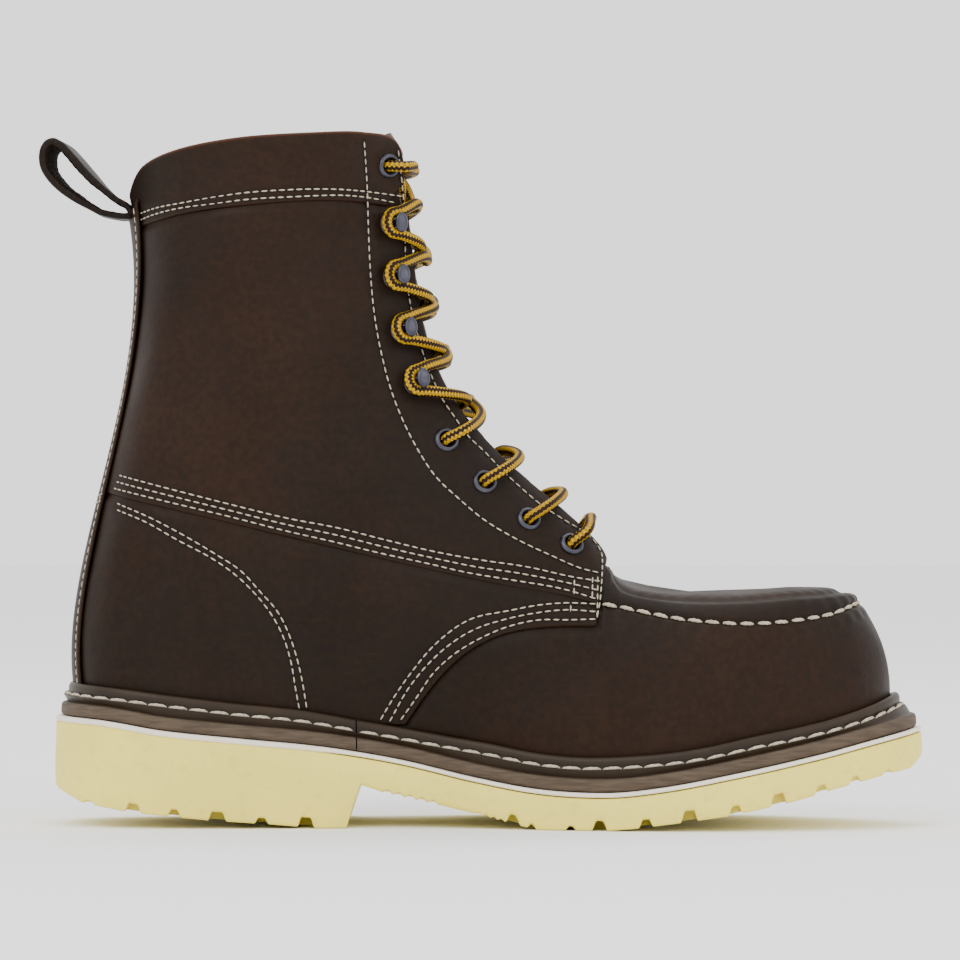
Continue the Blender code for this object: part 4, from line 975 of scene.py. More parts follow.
class BOOT_OT_toe(bpy.types.Operator):
    """Vamp round the toe with its raised seam, and the apron inside it"""
    bl_idname = "boot.toe"
    bl_label = "Vamp and apron"

    def darken_seam(self, mesh):
        """Painted shade: the band over the toe seam is darkened, darkest in the needle line, and loses its burnish."""
        shade_and_wear = mesh.verts.layers.float_color["shade_and_wear"]
        u = np.linspace(-FRONT_EDGE, FRONT_EDGE, 700)
        rim = ribs_at(u)[3]
        fall = seam_fall(u)
        tree = kdtree.KDTree(len(u))
        for number, place in enumerate(rim):
            tree.insert((place[0], place[1], 0), number)
        tree.balance()
        for vert in mesh.verts:
            _, number, away = tree.find((vert.co.x, vert.co.y, 0))
            past = rim[number, 2] - vert.co.z - fall[number]
            if away > 0.016 or past > 0.004:
                continue
            level = vert[shade_and_wear]
            # painted shade on the band above the seam, strongest in its needle line
            band = 0.45 * float(smooth(-past / 0.0010))
            level[0] = max(level[0], band, 0.95 * math.exp(-(past / 0.0009) ** 2))
            level[2] *= float(smooth(past / 0.002))

    def execute(self, context):
        sizes, colours = settings(context)
        wing = height_line(WING_EDGE)
        paint = leather_paint(colours)
        fine = np.linspace(-11.62, 11.62, 900)
        run = run_along(face(fine, np.full(900, 0.4)))
        u = np.interp(np.linspace(0, run[-1], int(run[-1] / (sizes.step * 0.9))), run, fine)
        turn = np.abs(u)
        high = np.where(turn < THROAT + 0.02, 1.0, np.minimum(crossing(turn, wing) + TUCK, 1.0))
        share = spaced(0.052, sizes.step * 0.8, (0.0, 0.35, 0.8, 1.3, 1.9, 2.6))

        def pucker(points, grid_u):
            """Depth of the raised band, its needle line and its gathers."""
            near_wing = smooth(1 - (wing(points[..., 0]) - points[..., 2]) / 0.004)
            under = 0.0013 * near_wing * smooth((np.abs(grid_u) - FRONT_EDGE + 0.35) / 0.3)
            fall = ribs_at(grid_u)[3][..., 2] - points[..., 2]
            past = fall - seam_fall(grid_u)
            wave = np.cos(2 * math.pi * seam_wave(grid_u, sizes))
            band = smooth(fall / 0.0015) * smooth(-past / 0.0012)
            ridge = -0.0006 * band
            valley = 0.0010 * np.exp(-(past / 0.0010) ** 2) * (0.7 + 0.3 * wave)
            gathers = 0.00013 * wave * band - 0.00018 * wave * smooth(1 - np.abs(past - 0.0032) / 0.0032)
            seam_here = smooth((8.1 - np.abs(grid_u)) / 0.4)
            return under + (ridge + valley + gathers) * seam_here

        mesh = leather_panel(u, np.zeros(len(u)), np.ones(len(u)), sizes, pucker, (3,), across=share, ceiling=high)
        bmesh.ops.remove_doubles(mesh, verts=mesh.verts, dist=1e-6)
        bmesh.ops.dissolve_degenerate(mesh, edges=mesh.edges, dist=1e-6)
        self.darken_seam(mesh)
        vamp = finish_piece("vamp_leather", mesh, paint, stands_for=["vamp"])
        thicken(vamp, LEATHER)

        turn = np.concatenate([np.linspace(7.55, 3, 150), np.linspace(2.97, 0, 110)])
        w = np.unique(np.concatenate([np.linspace(0, 0.12, 12), np.linspace(0.12, 1, 34)]))
        rows = []
        for t in turn:
            half = []
            for place in (t, -t):
                edge = crown(np.full(len(w), place), w)
                reach = np.linalg.norm(spine(place) - ribs_at(place)[3]) * w
                wave = math.cos(2 * math.pi * float(seam_wave(np.array(place), sizes)))
                fall = 0.0016 * np.exp(-(reach / 0.0022) ** 2) + 0.0006 * np.exp(-((reach - 0.0035) / 0.0014) ** 2)
                swell = -0.0011 * smooth(reach / 0.010) - 0.00012 * wave * np.exp(-((reach - 0.006) / 0.003) ** 2)
                edge[:, 2] -= fall + swell
                half.append(edge)
            rows.append(np.concatenate([half[0], half[1][-2::-1]]))
        points = np.array(rows)
        points[..., 2] += 0.0003 * soft_waves(points, 0.04, 2.0)
        near = edge_distances(points)
        masks = np.zeros(points.shape)
        # painted shade along the rim, where the apron dips under the seam's lip
        masks[..., 0] = 0.6 * np.exp(-(np.minimum(near[2], near[3]) / 0.0022) ** 2)
        masks[..., 2] = 0.22
        mesh = grid_piece(points, (0, 0, 1), masks)
        bmesh.ops.remove_doubles(mesh, verts=mesh.verts, dist=2e-5)
        apron = finish_piece("apron_leather", mesh, paint, stands_for=["apron"])
        thicken(apron, LEATHER * 0.8)
        return {"FINISHED"}


def height_share(height):
    """v on the back rib at a height."""
    whole = np.linspace(0, 1, 400)
    return float(np.interp(height, face(np.full(400, float(HEEL)), whole)[:, 2], whole))


def back_pace(v):
    """Length along the back of the boot for one rib, at v."""
    return np.linalg.norm(face(HEEL + 0.1, v) - face(HEEL - 0.1, v), axis=-1) / 0.2


class BOOT_OT_backstay(bpy.types.Operator):
    """Strip over the back seam"""
    bl_idname = "boot.backstay"
    bl_label = "Backstay"

    def execute(self, context):
        colours = settings(context)[1]
        v = np.linspace(0.012, height_share(BACKSTAY_TOP), 210)
        share = spaced(BACKSTAY_WIDTH, 0.0009) * 2 - 1
        pace = back_pace(v)
        u = HEEL + share[None, :] * (BACKSTAY_WIDTH / 2 / pace)[:, None]
        grid_v = np.repeat(v[:, None], len(share), axis=1)
        points = face(u, grid_v)
        normal = outward_normal(u, grid_v)
        near = edge_distances(points)
        side = np.minimum(near[2], near[3])
        lift = LAYER_GAP + OVERLAY_THICKNESS - rolled(np.minimum(side, near[1]), ROUND_EDGE)
        lift = lift - 0.0002 * np.exp(-((side - BACKSTAY_ROW) / 0.0010) ** 2)
        masks = np.zeros(points.shape)
        # painted shade in the needle line of the stitch row
        masks[..., 0] = np.exp(-((side - BACKSTAY_ROW) / 0.0008) ** 2)
        masks[..., 2] = 0.5 * np.exp(-(side / 0.0016) ** 2) + 0.25
        mesh = grid_piece(points + normal * lift[..., None], (-1, 0, 0), masks)
        strap = finish_piece("backstay_leather", mesh, leather_paint(colours), stands_for=["backstay"])
        thicken(strap, OVERLAY_THICKNESS)
        return {"FINISHED"}


class BOOT_OT_lining(bpy.types.Operator):
    """Lining of the shaft and forefoot, and the footbed"""
    bl_idname = "boot.lining"
    bl_label = "Lining and footbed"

    def execute(self, context):
        colours = settings(context)[1]
        depth = LEATHER + LAYER_GAP + CAP_GAP + CAP_THICKNESS + LINING_GAP
        turn = np.linspace(0, ROUND, 421)
        high = np.minimum(crossing(turn, height_line(STAY_LINE)) - 0.03, 0.985)
        high = np.where(folded(turn) < THROAT, 0.95, high)
        share = np.linspace(0, 1, 90)
        grid_v = high[:, None] * share
        grid_u = np.repeat(turn[:, None], len(share), axis=1)
        top = 1 - share
        inset = depth - 0.0022 * np.exp(-(top / 0.02) ** 2) * np.where(folded(grid_u) > 15, 1.0, 0.0)
        points = face(grid_u, grid_v) - outward_normal(grid_u, grid_v) * inset[..., None]
        points += 0.0003 * soft_waves(points, 0.05, 1.0)[..., None]
        mesh = seal(grid_piece(points), 1e-6)
        paint = paint_named("lining_leather", fibre_finish, colours.lining, 90.0, 0.7)
        liner = finish_piece("lining_sheet", mesh, paint, stands_for=["lining"])
        thicken(liner, 0.0011)
        self.footbed()
        return {"FINISHED"}

    def footbed(self):
        """The pad that the foot rests on, over the cork and the board."""
        bed = 4 * STACK_GAP + CORK_THICKNESS + BOARD_THICKNESS
        run = np.linspace(0, OUT_TOTAL, 361)
        plan, outward = outline(run)
        inset = SIDE_INSET + LEATHER + 2 * LAYER_GAP + CAP_THICKNESS + 0.0044
        inset = inset + 0.007 * np.clip(outward[:, 0], 0, 1) ** 2
        columns = []
        for reach, rise in ((0.0006, 0.0), (0.0, 0.0012), (0.0, 0.0036), (0.0005, 0.0046), (0.0015, 0.0050),
                            (0.005, 0.0050), (0.010, 0.0050), (0.015, 0.0049)):
            edge = plan - outward * (inset + reach)[:, None]
            columns.append(np.column_stack([edge, datum_z(edge[:, 0]) + bed + rise]))
        ring = columns[-1]
        x = np.clip(ring[:, 0], -0.118, 0.108)
        middle = np.column_stack([x, centre_line(x), datum_z(x) + bed + 0.0047])
        base = middle - (0, 0, 0.0047)
        mesh = seal(grid_piece(np.stack([base] + columns + [(ring + middle) / 2, middle], 1)), 1e-5)
        paint = paint_named("footbed_cover", fibre_finish, (0.05, 0.045, 0.04), 900.0)
        finish_piece("footbed_pad", mesh, paint, stands_for=["footbed"])


# ---------------------------------------------------------------- sole
def ring_body(rings, count, low_middle, high_middle):
    """A closed slab round the outline. rings are (inset, height function of the ring's x). The middles give the
    height of its flat faces inside the first and last ring."""
    run = np.linspace(0, OUT_TOTAL, count + 1)
    columns = []
    for inset, height in rings:
        plan = outline(run, inset)[0]
        columns.append(np.column_stack([plan, height(plan[:, 0])]))
    tips = outline(np.array([0.0, OUT_RUN[HEEL_POINT]]), SOLE_CORE)[0][:, 0]
    for end, height in ((0, low_middle), (-1, high_middle)):
        ring = columns[end]
        x = np.clip(ring[:, 0], tips[1], tips[0])
        core = np.column_stack([x, np.interp(x, [-0.13, 0.03, 0.137], [0.0005, 0.001, -0.008]), height(x)])
        halfway = (ring + core) / 2
        halfway[:, 2] = height(halfway[:, 0])
        columns = columns + [halfway, core] if end else [core, halfway] + columns
    mesh = grid_piece(np.stack(columns, 1))
    bmesh.ops.remove_doubles(mesh, verts=mesh.verts, dist=1e-5)
    bmesh.ops.dissolve_degenerate(mesh, edges=mesh.edges, dist=1e-6)
    return seal(mesh)


def lug_height(x):
    """Rise of the tread's edge in the gaps between lugs, as a share of their depth."""
    x = np.asarray(x) / MM
    rise = np.zeros(x.shape)
    for centre, width, share in LUGS:
        rise = np.maximum(rise, share * smooth(0.5 - (np.abs(x - centre) - width / 2) / 1.6))
    for start, end, pitch, share in RIBBED:
        waves = share * (0.5 + 0.5 * np.cos(x * 2 * math.pi / pitch))
        rise = np.maximum(rise, np.where((x > start) & (x < end), waves, 0))
    return rise


class BOOT_OT_sole(bpy.types.Operator):
    """Wedge outsole with its lugs, and the thin midsole over it"""
    bl_idname = "boot.sole"
    bl_label = "Outsole and midsole"

    def execute(self, context):
        colours = settings(context)[1]
        thick = MIDSOLE_THICKNESS

        def high(x):
            return datum_z(x) - thick - STACK_GAP

        def under(share):
            """The underside, with its gaps between lugs cut to a share of their depth."""
            return lambda x: tread_z(x) + LUG_DEPTH * lug_height(x) * share

        def wall(share, drop=0.0):
            """A height from the foot of the side (0) to its top (1)."""
            return lambda x: under(1.0)(x) + (high(x) - under(1.0)(x)) * share + drop

        def layer(amount):
            """The midsole from its underside (0), thicker under the heel, to its top (1)."""
            return lambda x: (datum_z(x) - thick - 0.0006 * smooth((-0.045 - x) / 0.02) * (1 - amount)
                              + (thick + 0.0001) * amount)

        rings = [(SOLE_CORE, under(0.0)), (0.0150, under(0.0)), (0.0135, under(0.0)), (0.0125, under(1.0)),
                 (0.009, under(1.0)), (0.005, under(1.0)), (0.0016, under(1.0)), (0.0007, wall(0.0, 0.0001)),
                 (0.0002, wall(0.0, 0.0005)), (0.0, wall(0.0, 0.0011)), (-0.0002, wall(0.25)), (-0.0001, wall(0.5)),
                 (0.0001, wall(0.75)), (0.0002, wall(1.0, -0.0012)), (0.0003, wall(1.0, -0.0004)),
                 (0.0008, high), (0.004, high), (0.012, high), (SOLE_CORE, high)]
        paint = paint_named("wedge_rubber", rubber_finish, colours.sole, 0.12)
        finish_piece("outsole_rubber", ring_body(rings, 1500, tread_z, high), paint,
                     stands_for=["outsole"], crease=0.6)
        rings = [(inset, layer(amount)) for inset, amount in (
            (SOLE_CORE, 0), (0.004, 0), (0.0009, 0.02), (0.0003, 0.2), (0.0001, 0.5), (0.0003, 0.8), (0.0009, 0.98),
            (0.004, 1), (SOLE_CORE, 1))]
        paint = paint_named("midsole_foam", rubber_finish, colours.midsole, 0.05)
        finish_piece("midsole_layer", ring_body(rings, 700, lambda x: datum_z(x) - thick, datum_z), paint,
                     stands_for=["midsole"])
        return {"FINISHED"}


def welt_frame(u):
    """What the section of the welt is laid out from at ribs u."""
    foot = ribs_at(u)[0]
    row = spline(FORM_KNOTS, FORM_ROWS, u % ROUND)
    outward = outline(row[:, 0])[1]
    inset = SIDE_INSET + TOE_INSET * np.clip(outward[:, 0], 0, 1) ** 2
    reach = inset - WELT_INSET
    ridge = feather_z(foot[:, 0])
    v_top = crossing(u, lambda x: feather_z(x) - 0.0006)
    inner_top = face(u, v_top) + outward_normal(u, v_top) * LAYER_GAP

    def at(out, z):
        """Points of the section, out from the foot of the upper."""
        plan = foot[:, :2] + outward * (np.zeros(len(u)) + out)[:, None]
        return np.stack([plan[:, 0], plan[:, 1], np.zeros(len(u)) + z], -1)

    base = datum_z(at(reach, 0)[:, 0]) + STACK_GAP
    return at, reach, base, ridge, inner_top, foot


class BOOT_OT_welt(bpy.types.Operator):
    """Storm welt with its rounded ridge, stitching groove and cut edge"""
    bl_idname = "boot.welt"
    bl_label = "Welt"

    def execute(self, context):
        colours = settings(context)[1]
        u = np.linspace(WELT_JOINT + 0.012, WELT_JOINT - 0.012 + ROUND, 900)
        at, reach, base, ridge, inner_top, foot = welt_frame(u)
        bed = base + WELT_THICKNESS
        # each point: place, painted shade of the groove and the joint with the upper, share of cut edge
        section = [
            (at(0.0005, datum_z(foot[:, 0]) + STACK_GAP), 0, 0), (at(reach - 0.001, base), 0, 1),
            (at(reach - 0.0002, base + 0.0002), 0, 1), (at(reach + 0.0001, base + 0.0010), 0, 1),
            (at(reach, base + 0.0026), 0, 1), (at(reach - 0.0001, bed - 0.0006), 0, 1),
            (at(reach - 0.0006, bed + 0.0001), 0, 0.85), (at(reach - 0.0013, bed + 0.0004), 0, 0.35),
            (at(reach - 0.0022, bed + 0.0006), 0, 0), (at(0.0056, ridge - 0.0041), 0.1, 0),
            (at(0.0048, ridge - 0.0046), 0.9, 0), (at(0.0040, ridge - 0.0044), 1, 0),
            (at(0.0036, ridge - 0.0034), 0.7, 0), (at(0.0037, ridge - 0.0022), 0.1, 0),
            (at(0.0036, ridge - 0.0012), 0, 0), (at(0.0031, ridge - 0.0003), 0, 0),
            (at(0.0024, ridge + 0.0001), 0, 0), (at(0.0016, ridge - 0.0001), 0, 0),
            (inner_top, 0.5, 0), (at(0.0005, foot[:, 2]), 0.5, 0),
        ]
        points = np.stack([line for line, _, _ in section + section[:1]], 1)
        masks = np.zeros(points.shape)
        for number, (_, painted_shade, cut) in enumerate(section):
            masks[:, number, :2] = painted_shade, cut
        fine = np.linspace(0, 1, 62)
        place = np.linspace(0, 1, points.shape[1])
        points, masks = [
            np.stack([np.stack([np.interp(fine, place, row[:, k]) for k in range(3)], -1) for row in table])
            for table in (points, masks)]
        mesh = seal(grid_piece(points, None, masks, wrap=True), fill=True)
        paint = paint_named("welt_leather", welt_finish, colours)
        finish_piece("welt_strip", mesh, paint, stands_for=["welt"])
        return {"FINISHED"}


# ---------------------------------------------------------------- stitching
def capsule():
    """One stitch of the fine seams, one long along x and one thick."""
    mesh = bmesh.new()
    bmesh.ops.create_uvsphere(mesh, u_segments=6, v_segments=5, radius=0.5)
    bmesh.ops.rotate(mesh, verts=mesh.verts, matrix=Matrix.Rotation(math.pi / 2, 3, "Y"))
    return mesh_data(mesh, "stitch")


def twisted_stitch():
    """A two-ply stitch one long along x, its ends dipping."""
    angle = np.linspace(0, 2 * math.pi, 11)
    rows = []
    for t in np.linspace(0, 1, 15):
        pinch = math.sin(math.pi * min(max(t, 0.015), 0.985)) ** 0.35
        lobes = 0.5 * (1 + 0.12 * np.cos(2 * (angle - 3 * math.pi * t))) * pinch
        dip = -0.45 * (abs(2 * t - 1) ** 4)
        rows.append(np.stack([np.full(11, t - 0.5), lobes * np.cos(angle), lobes * np.sin(angle) + dip], -1))
    return mesh_data(seal(grid_piece(np.array(rows), wrap=True), fill=True), "ply")


def at_run(place, run, points):
    """The point at a running length along a line."""
    return np.array([np.interp(place, run, points[:, k]) for k in range(3)])


def lay_stitches(mesh, template, points, normals, pitch, length, thick, lean=0.0):
    """Copies a stitch along a line of points."""
    run = run_along(points)
    count = max(int(round(run[-1] / pitch)), 1)
    gap = run[-1] / count
    for number in range(count):
        middle = (number + 0.5) * gap
        start, end = at_run(middle - length / 2, run, points), at_run(middle + length / 2, run, points)
        normal = unit(at_run(middle, run, normals))
        along = unit(end - start)
        along = unit(along + unit(np.cross(normal, along)) * lean)
        across = unit(np.cross(normal, along))
        up = np.cross(along, across)
        place = np.column_stack([along * length, across * thick, up * thick, (start + end) / 2])
        laid = len(mesh.verts)
        mesh.from_mesh(template)
        mesh.verts.ensure_lookup_table()
        bmesh.ops.transform(mesh, matrix=Matrix(place.tolist() + [[0, 0, 0, 1]]), verts=mesh.verts[laid:])


def row_on_form(row, side, lift):
    """A side-view row laid on the outer face of the upper."""
    u, v = place_on_form(dense_line(row, 0.0015), side)
    normal = outward_normal(u, v)
    return face(u, v) + normal * lift, normal


class BOOT_OT_stitching(bpy.types.Operator):
    """Every visible row of thread on the upper, the toe seam and the welt"""
    bl_idname = "boot.stitching"
    bl_label = "Stitching"

    def execute(self, context):
        sizes, colours = settings(context)
        paint = paint_named("seam_thread", thread_finish, colours.thread)
        template = capsule()
        length = sizes.seam_pitch * 0.76
        for side, label in SIDES:
            mesh = bmesh.new()
            for row in SIDE_ROWS + BAR_TACKS:
                points, normals = row_on_form(row, side, sizes.seam_thread * 0.10)
                lay_stitches(mesh, template, points, normals, sizes.seam_pitch, length, sizes.seam_thread)
            self.backstay_row(mesh, template, side, sizes, length)
            finish_piece("panel_stitches_" + label, mesh, paint)
        cord = paint_named("seam_cord", thread_finish, colours.thread)
        ply = twisted_stitch()
        u = np.linspace(-7.55, 7.55, 900)
        v = self.below_rim(u)
        normal = outward_normal(u, v)
        mesh = bmesh.new()
        lay_stitches(mesh, ply, face(u, v) - normal * 0.00025, normal, sizes.toe_pitch, sizes.toe_pitch * 0.85,
                     sizes.toe_thread, lean=-0.06)
        finish_piece("toe_seam_stitches", mesh, cord)
        u = np.linspace(WELT_JOINT + 0.05, WELT_JOINT - 0.05 + ROUND, 1200)
        at, _, _, ridge, _, _ = welt_frame(u)
        line = at(0.0047, ridge - 0.0038)
        normals = unit(at(1.0, 0) * (1, 1, 0) - at(0.0, 0) * (1, 1, 0)) * 0.55 + (0, 0, 0.83)
        mesh = bmesh.new()
        lay_stitches(mesh, ply, line, normals, sizes.welt_pitch, sizes.welt_pitch * 0.93, sizes.welt_thread,
                     lean=0.05)
        finish_piece("welt_stitches", mesh, cord)
        return {"FINISHED"}

    def below_rim(self, u):
        """v of the toe seam's stitches."""
        v = np.linspace(0.6, 1, 160)
        grid_u, grid_v = np.meshgrid(u, v, indexing="ij")
        heights = face(grid_u, grid_v)[..., 2]
        fall = seam_fall(u)
        return np.array([np.interp(row[-1] - drop, row, v) for row, drop in zip(heights, fall)])

    def backstay_row(self, mesh, template, side, sizes, length):
        """One row up the edge of the backstay and two wide stitches across its side."""
        v = np.linspace(0.02, height_share(BACKSTAY_TOP - 0.001), 300)
        pace = back_pace(v)
        out = LAYER_GAP + OVERLAY_THICKNESS
        u = HEEL + side * (BACKSTAY_WIDTH / 2 - BACKSTAY_ROW) / pace
        normal = outward_normal(u, v)
        lay_stitches(mesh, template, face(u, v) + normal * (out - 0.0001), normal, sizes.seam_pitch, length,
                     sizes.seam_thread)
        for height in (0.1156, 0.1131):
            place = height_share(height)
            reach = np.linspace(0.0, BACKSTAY_WIDTH / 2 - 0.0002, 40)
            u = HEEL + side * reach / np.interp(place, v, pace)
            spots = np.full(len(u), place)
            normal = outward_normal(u, spots)
            lay_stitches(mesh, template, face(u, spots) + normal * out, normal, sizes.seam_pitch * 1.1,
                         length * 1.15, sizes.seam_thread * 1.15)


# ---------------------------------------------------------------- lace route
OVER = LACE_DIAMETER * 0.53
OVER_EDGE = LACE_DIAMETER / 2 + 0.0019
UNDER_EDGE = -(LEATHER + LAYER_GAP + STAY_THICKNESS + LACE_DIAMETER / 2 + 0.0006)
CROSS_FRACTIONS = [0.66, 0.68, 0.51, 0.40, 0.42, 0.32, 0.39, 0.34]
RIM_U = np.linspace(7.9, 15.0, 80)
RIM_Z = ribs_at(RIM_U)[3][:, 2]


def seat(x, z, side):
    """Centre and outward direction of a piece of hardware on the upper, x and z in mm."""
    u, v = place_on_form([(x * MM, z * MM)], side)
    return face(u, v)[0], outward_normal(u, v)[0]


def rim_pass(z, side, lift):
    """Where the lace crosses a facing edge at height z."""
    u = np.interp(z, RIM_Z, RIM_U)
    u = u if side < 0 else ROUND - u
    return ribs_at(u)[3] + outward_normal(u, np.array(0.97)) * lift + (0, -side * (0.0022 if lift > 0 else 0.0004), 0)


def lace_arm(side, lift):
    """The lace from the middle of the top bar down one arm, changing side at every crossing."""
    spots = [EYELET_SPOTS[0]] + HOOK_SPOTS + EYELET_SPOTS[1:]
    seats = [seat(x, z, side * (-1) ** i) for i, (x, z) in enumerate(spots)]
    top = seats[0][0]
    route = [np.array([top[0] + 0.0062, 0, top[2] + 0.0003]), rim_pass(top[2], side, OVER_EDGE)]
    for number, (centre, normal) in enumerate(seats):
        here = side * (-1) ** number
        inward = np.array([0.55, -here * 0.83, 0.0])
        to_edge = unit(inward - normal * np.dot(inward, normal))
        down = unit(np.cross(normal, to_edge))
        down = down * (-1 if down[2] > 0 else 1)
        if 1 <= number <= len(HOOK_SPOTS):
            wrap = LACE_DIAMETER / 2 + HOOK_POST / 2 + 0.0005
            level = centre + normal * (LACE_DIAMETER / 2 + 0.0026)
            route += [rim_pass(centre[2] + 0.0068, here, OVER_EDGE), level - down * wrap + to_edge * 0.0012,
                      level - to_edge * wrap * HOOK_TURN - down * wrap * HOOK_TURN, level - to_edge * wrap * 1.02,
                      level - to_edge * wrap * HOOK_TURN + down * wrap * HOOK_TURN,
                      level + down * wrap + to_edge * 0.0012,
                      rim_pass(centre[2] - 0.0068, here, OVER_EDGE)]
        else:
            if number:
                route.append(rim_pass(centre[2] + 0.0058, here, OVER_EDGE))
            route += [centre + normal * 0.0049 + to_edge * 0.0028, centre + normal * 0.0022, centre - normal * 0.0024,
                      centre - normal * 0.0062 + to_edge * 0.0004]
            if number == len(seats) - 1:
                route.append(centre - normal * 0.0076 + to_edge * 0.0020)
                break
            route += [centre - normal * 0.0078 + to_edge * 0.0034, rim_pass(centre[2] - 0.0020, here, UNDER_EDGE)]
        z = (centre + (seats[number + 1][0] - centre) * CROSS_FRACTIONS[number])[2]
        point, _, forward = facing_frame(np.interp(z, RIM_Z, RIM_U))
        over = lift * (1 if number % 2 else -1)
        level = 0.0020 if 1 <= number <= len(HOOK_SPOTS) else -0.0006
        route.append(point + forward * (level + over * OVER))
    return route


def lace_line(spacing):
    """Evenly spaced points along the whole lace."""
    route = np.array(lace_arm(1, -1)[:0:-1] + lace_arm(-1, 1))
    run = run_along(route)
    fine = spline(run, route, np.linspace(0, run[-1], 6000))
    length = run_along(fine)
    even = np.linspace(0, length[-1], int(length[-1] / spacing))
    return np.stack([np.interp(even, length, fine[:, k]) for k in range(3)], -1), length[-1]


class BOOT_OT_lace(bpy.types.Operator):
    """One round braided lace, threaded and pulled snug"""
    bl_idname = "boot.lace"
    bl_label = "Lace"

    def execute(self, context):
        sizes, colours = settings(context)
        points, length = lace_line(0.00045)
        along = unit(np.gradient(points, axis=0))
        side = np.zeros(points.shape)
        side[0] = unit(np.cross(along[0], (0.3, 0.2, 1.0)))
        for k in range(1, len(points)):
            side[k] = unit(side[k - 1] - along[k] * np.dot(side[k - 1], along[k]))
        other = np.cross(along, side)
        turns = np.linspace(0, 1, 19)
        run = np.linspace(0, length, len(points)) / BRAID_REPEAT
        angle = turns * 2 * math.pi
        yarn, pick = BRAID_YARNS * angle[None, :], BRAID_PICKS * run[:, None] * 2 * math.pi
        ridge = np.cos(yarn + pick) + np.cos(yarn - pick)
        radius = sizes.lace / 2 * (0.965 + 0.018 * ridge)
        tube = (points[:, None, :] + side[:, None, :] * (np.cos(angle)[None, :] * radius)[..., None]
                + other[:, None, :] * (np.sin(angle)[None, :] * radius)[..., None])
        uv = np.stack(np.broadcast_arrays(run[:, None], turns[None, :]), -1)
        mesh = seal(grid_piece(tube, uv=uv, wrap=True), fill=True)
        finish_piece("braided_lace", mesh, paint_named("braided_lace", lace_finish, colours),
                     stands_for=["lace"])
        return {"FINISHED"}


class BOOT_OT_tongue(bpy.types.Operator):
    """Padded tongue, swelling between the crossings of the lace"""
    bl_idname = "boot.tongue"
    bl_label = "Tongue"

    def execute(self, context):
        colours = settings(context)[1]
        point, up, forward = facing_frame(np.linspace(8.6, 15, 150))
        tail = np.linspace(0.001, 0.0060, 9)[:, None]
        root = [[0.0625, 0, 0.0800], [0.0575, 0, 0.0875], [0.050, 0, 0.0925]]
        lean = unit(np.array([[0.1, 0, 1.0], [0.25, 0, 1.0], [0.45, 0, 1.0]]))
        path = np.concatenate([root, point, point[-1:] + up[-1:] * tail])
        faces_to = unit(np.concatenate([lean, forward, np.repeat(forward[-1:], len(tail), axis=0)]))
        knots = np.concatenate([[-3.0, -2.0, -1.0], np.arange(len(path) - 3, dtype=float) / 16])
        at = np.concatenate([np.linspace(-3, 0, 26)[:-1], knots[3:]])
        path = spline(knots, path, at)
        faces_to = unit(spline(knots, faces_to, at))
        angles = np.radians(np.linspace(-TONGUE_ARC, TONGUE_ARC, 61))
        centre = path - faces_to * TONGUE_RADIUS
        sideways = np.array([0, 1, 0]) * (TONGUE_RADIUS * np.sin(angles))[None, :, None]

        def section(drop):
            """The outer face, pressed in by drop."""
            reach = (TONGUE_RADIUS * np.cos(angles))[None, :] - drop
            return centre[:, None, :] + faces_to[:, None, :] * reach[..., None] + sideways

        lace = lace_line(0.0015)[0]
        lace = lace[np.abs(lace[:, 1]) < 0.019]
        drop = np.full((len(path), len(angles)), -0.0028)
        drop += 0.0066 * (np.degrees(angles) / TONGUE_ARC) ** 2
        drop[:26] = np.maximum(drop[:26], TONGUE_SUNK)
        drop = np.maximum(drop, (TONGUE_SUNK * smooth((0.058 - np.abs(path[:, 2] - 0.060)) / 0.020))[:, None])
        for _ in range(2):
            ring = section(drop)
            for k, row in enumerate(ring):
                near = lace[np.linalg.norm(lace - row[30], axis=1) < 0.026]
                if len(near) == 0:
                    continue
                offset = near[None, :, :] - row[:, None, :]
                height = offset @ faces_to[k]
                flat = np.sqrt(np.maximum((offset**2).sum(-1) - height**2, 0))
                room = height - 0.0026 + 0.5 * np.maximum(flat - 0.0016, 0) ** 2 / 0.0022
                short = np.where(flat < 0.011, -room, -1.0).max(axis=1)
                drop[k] += np.clip(short, 0, 0.0085)
        for _ in range(3):
            drop[1:-1, 1:-1] = (drop[1:-1, 1:-1] * 2 + drop[:-2, 1:-1] + drop[2:, 1:-1] + drop[1:-1, :-2]
                                + drop[1:-1, 2:]) / 6
        ring = section(np.minimum(drop, 0.0125))
        masks = np.zeros(ring.shape)
        masks[..., 2] = 0.15
        masks[-4:, :, 1] = 0.5
        mesh = grid_piece(ring, (1, 0, 0.3), masks)
        tongue = finish_piece("tongue_leather", mesh, leather_paint(colours), stands_for=["tongue"])
        thicken(tongue, 0.0026)
        return {"FINISHED"}


# ---------------------------------------------------------------- hardware
def spun(profile, steps):
    """A piece turned about z from (radius, height) points in mm."""
    mesh = bmesh.new()
    verts = [mesh.verts.new((r * MM, 0, z * MM)) for r, z in profile]
    edges = [mesh.edges.new(pair) for pair in zip(verts, verts[1:])]
    bmesh.ops.spin(mesh, geom=verts + edges, axis=(0, 0, 1), cent=(0, 0, 0), angle=2 * math.pi, steps=steps,
                   use_merge=True)
    return seal(mesh, 1e-7)


def seated(mesh, centre, normal, up=(0, 0, 1)):
    """Moves a piece made about z onto its seat, its x axis lying along the up direction."""
    normal = Vector(normal).normalized()
    along = (Vector(up) - normal * Vector(up).dot(normal)).normalized()
    across = normal.cross(along)
    turn = Matrix((along, across, normal)).transposed().to_4x4()
    bmesh.ops.transform(mesh, matrix=Matrix.Translation(Vector(centre)) @ turn, verts=mesh.verts)


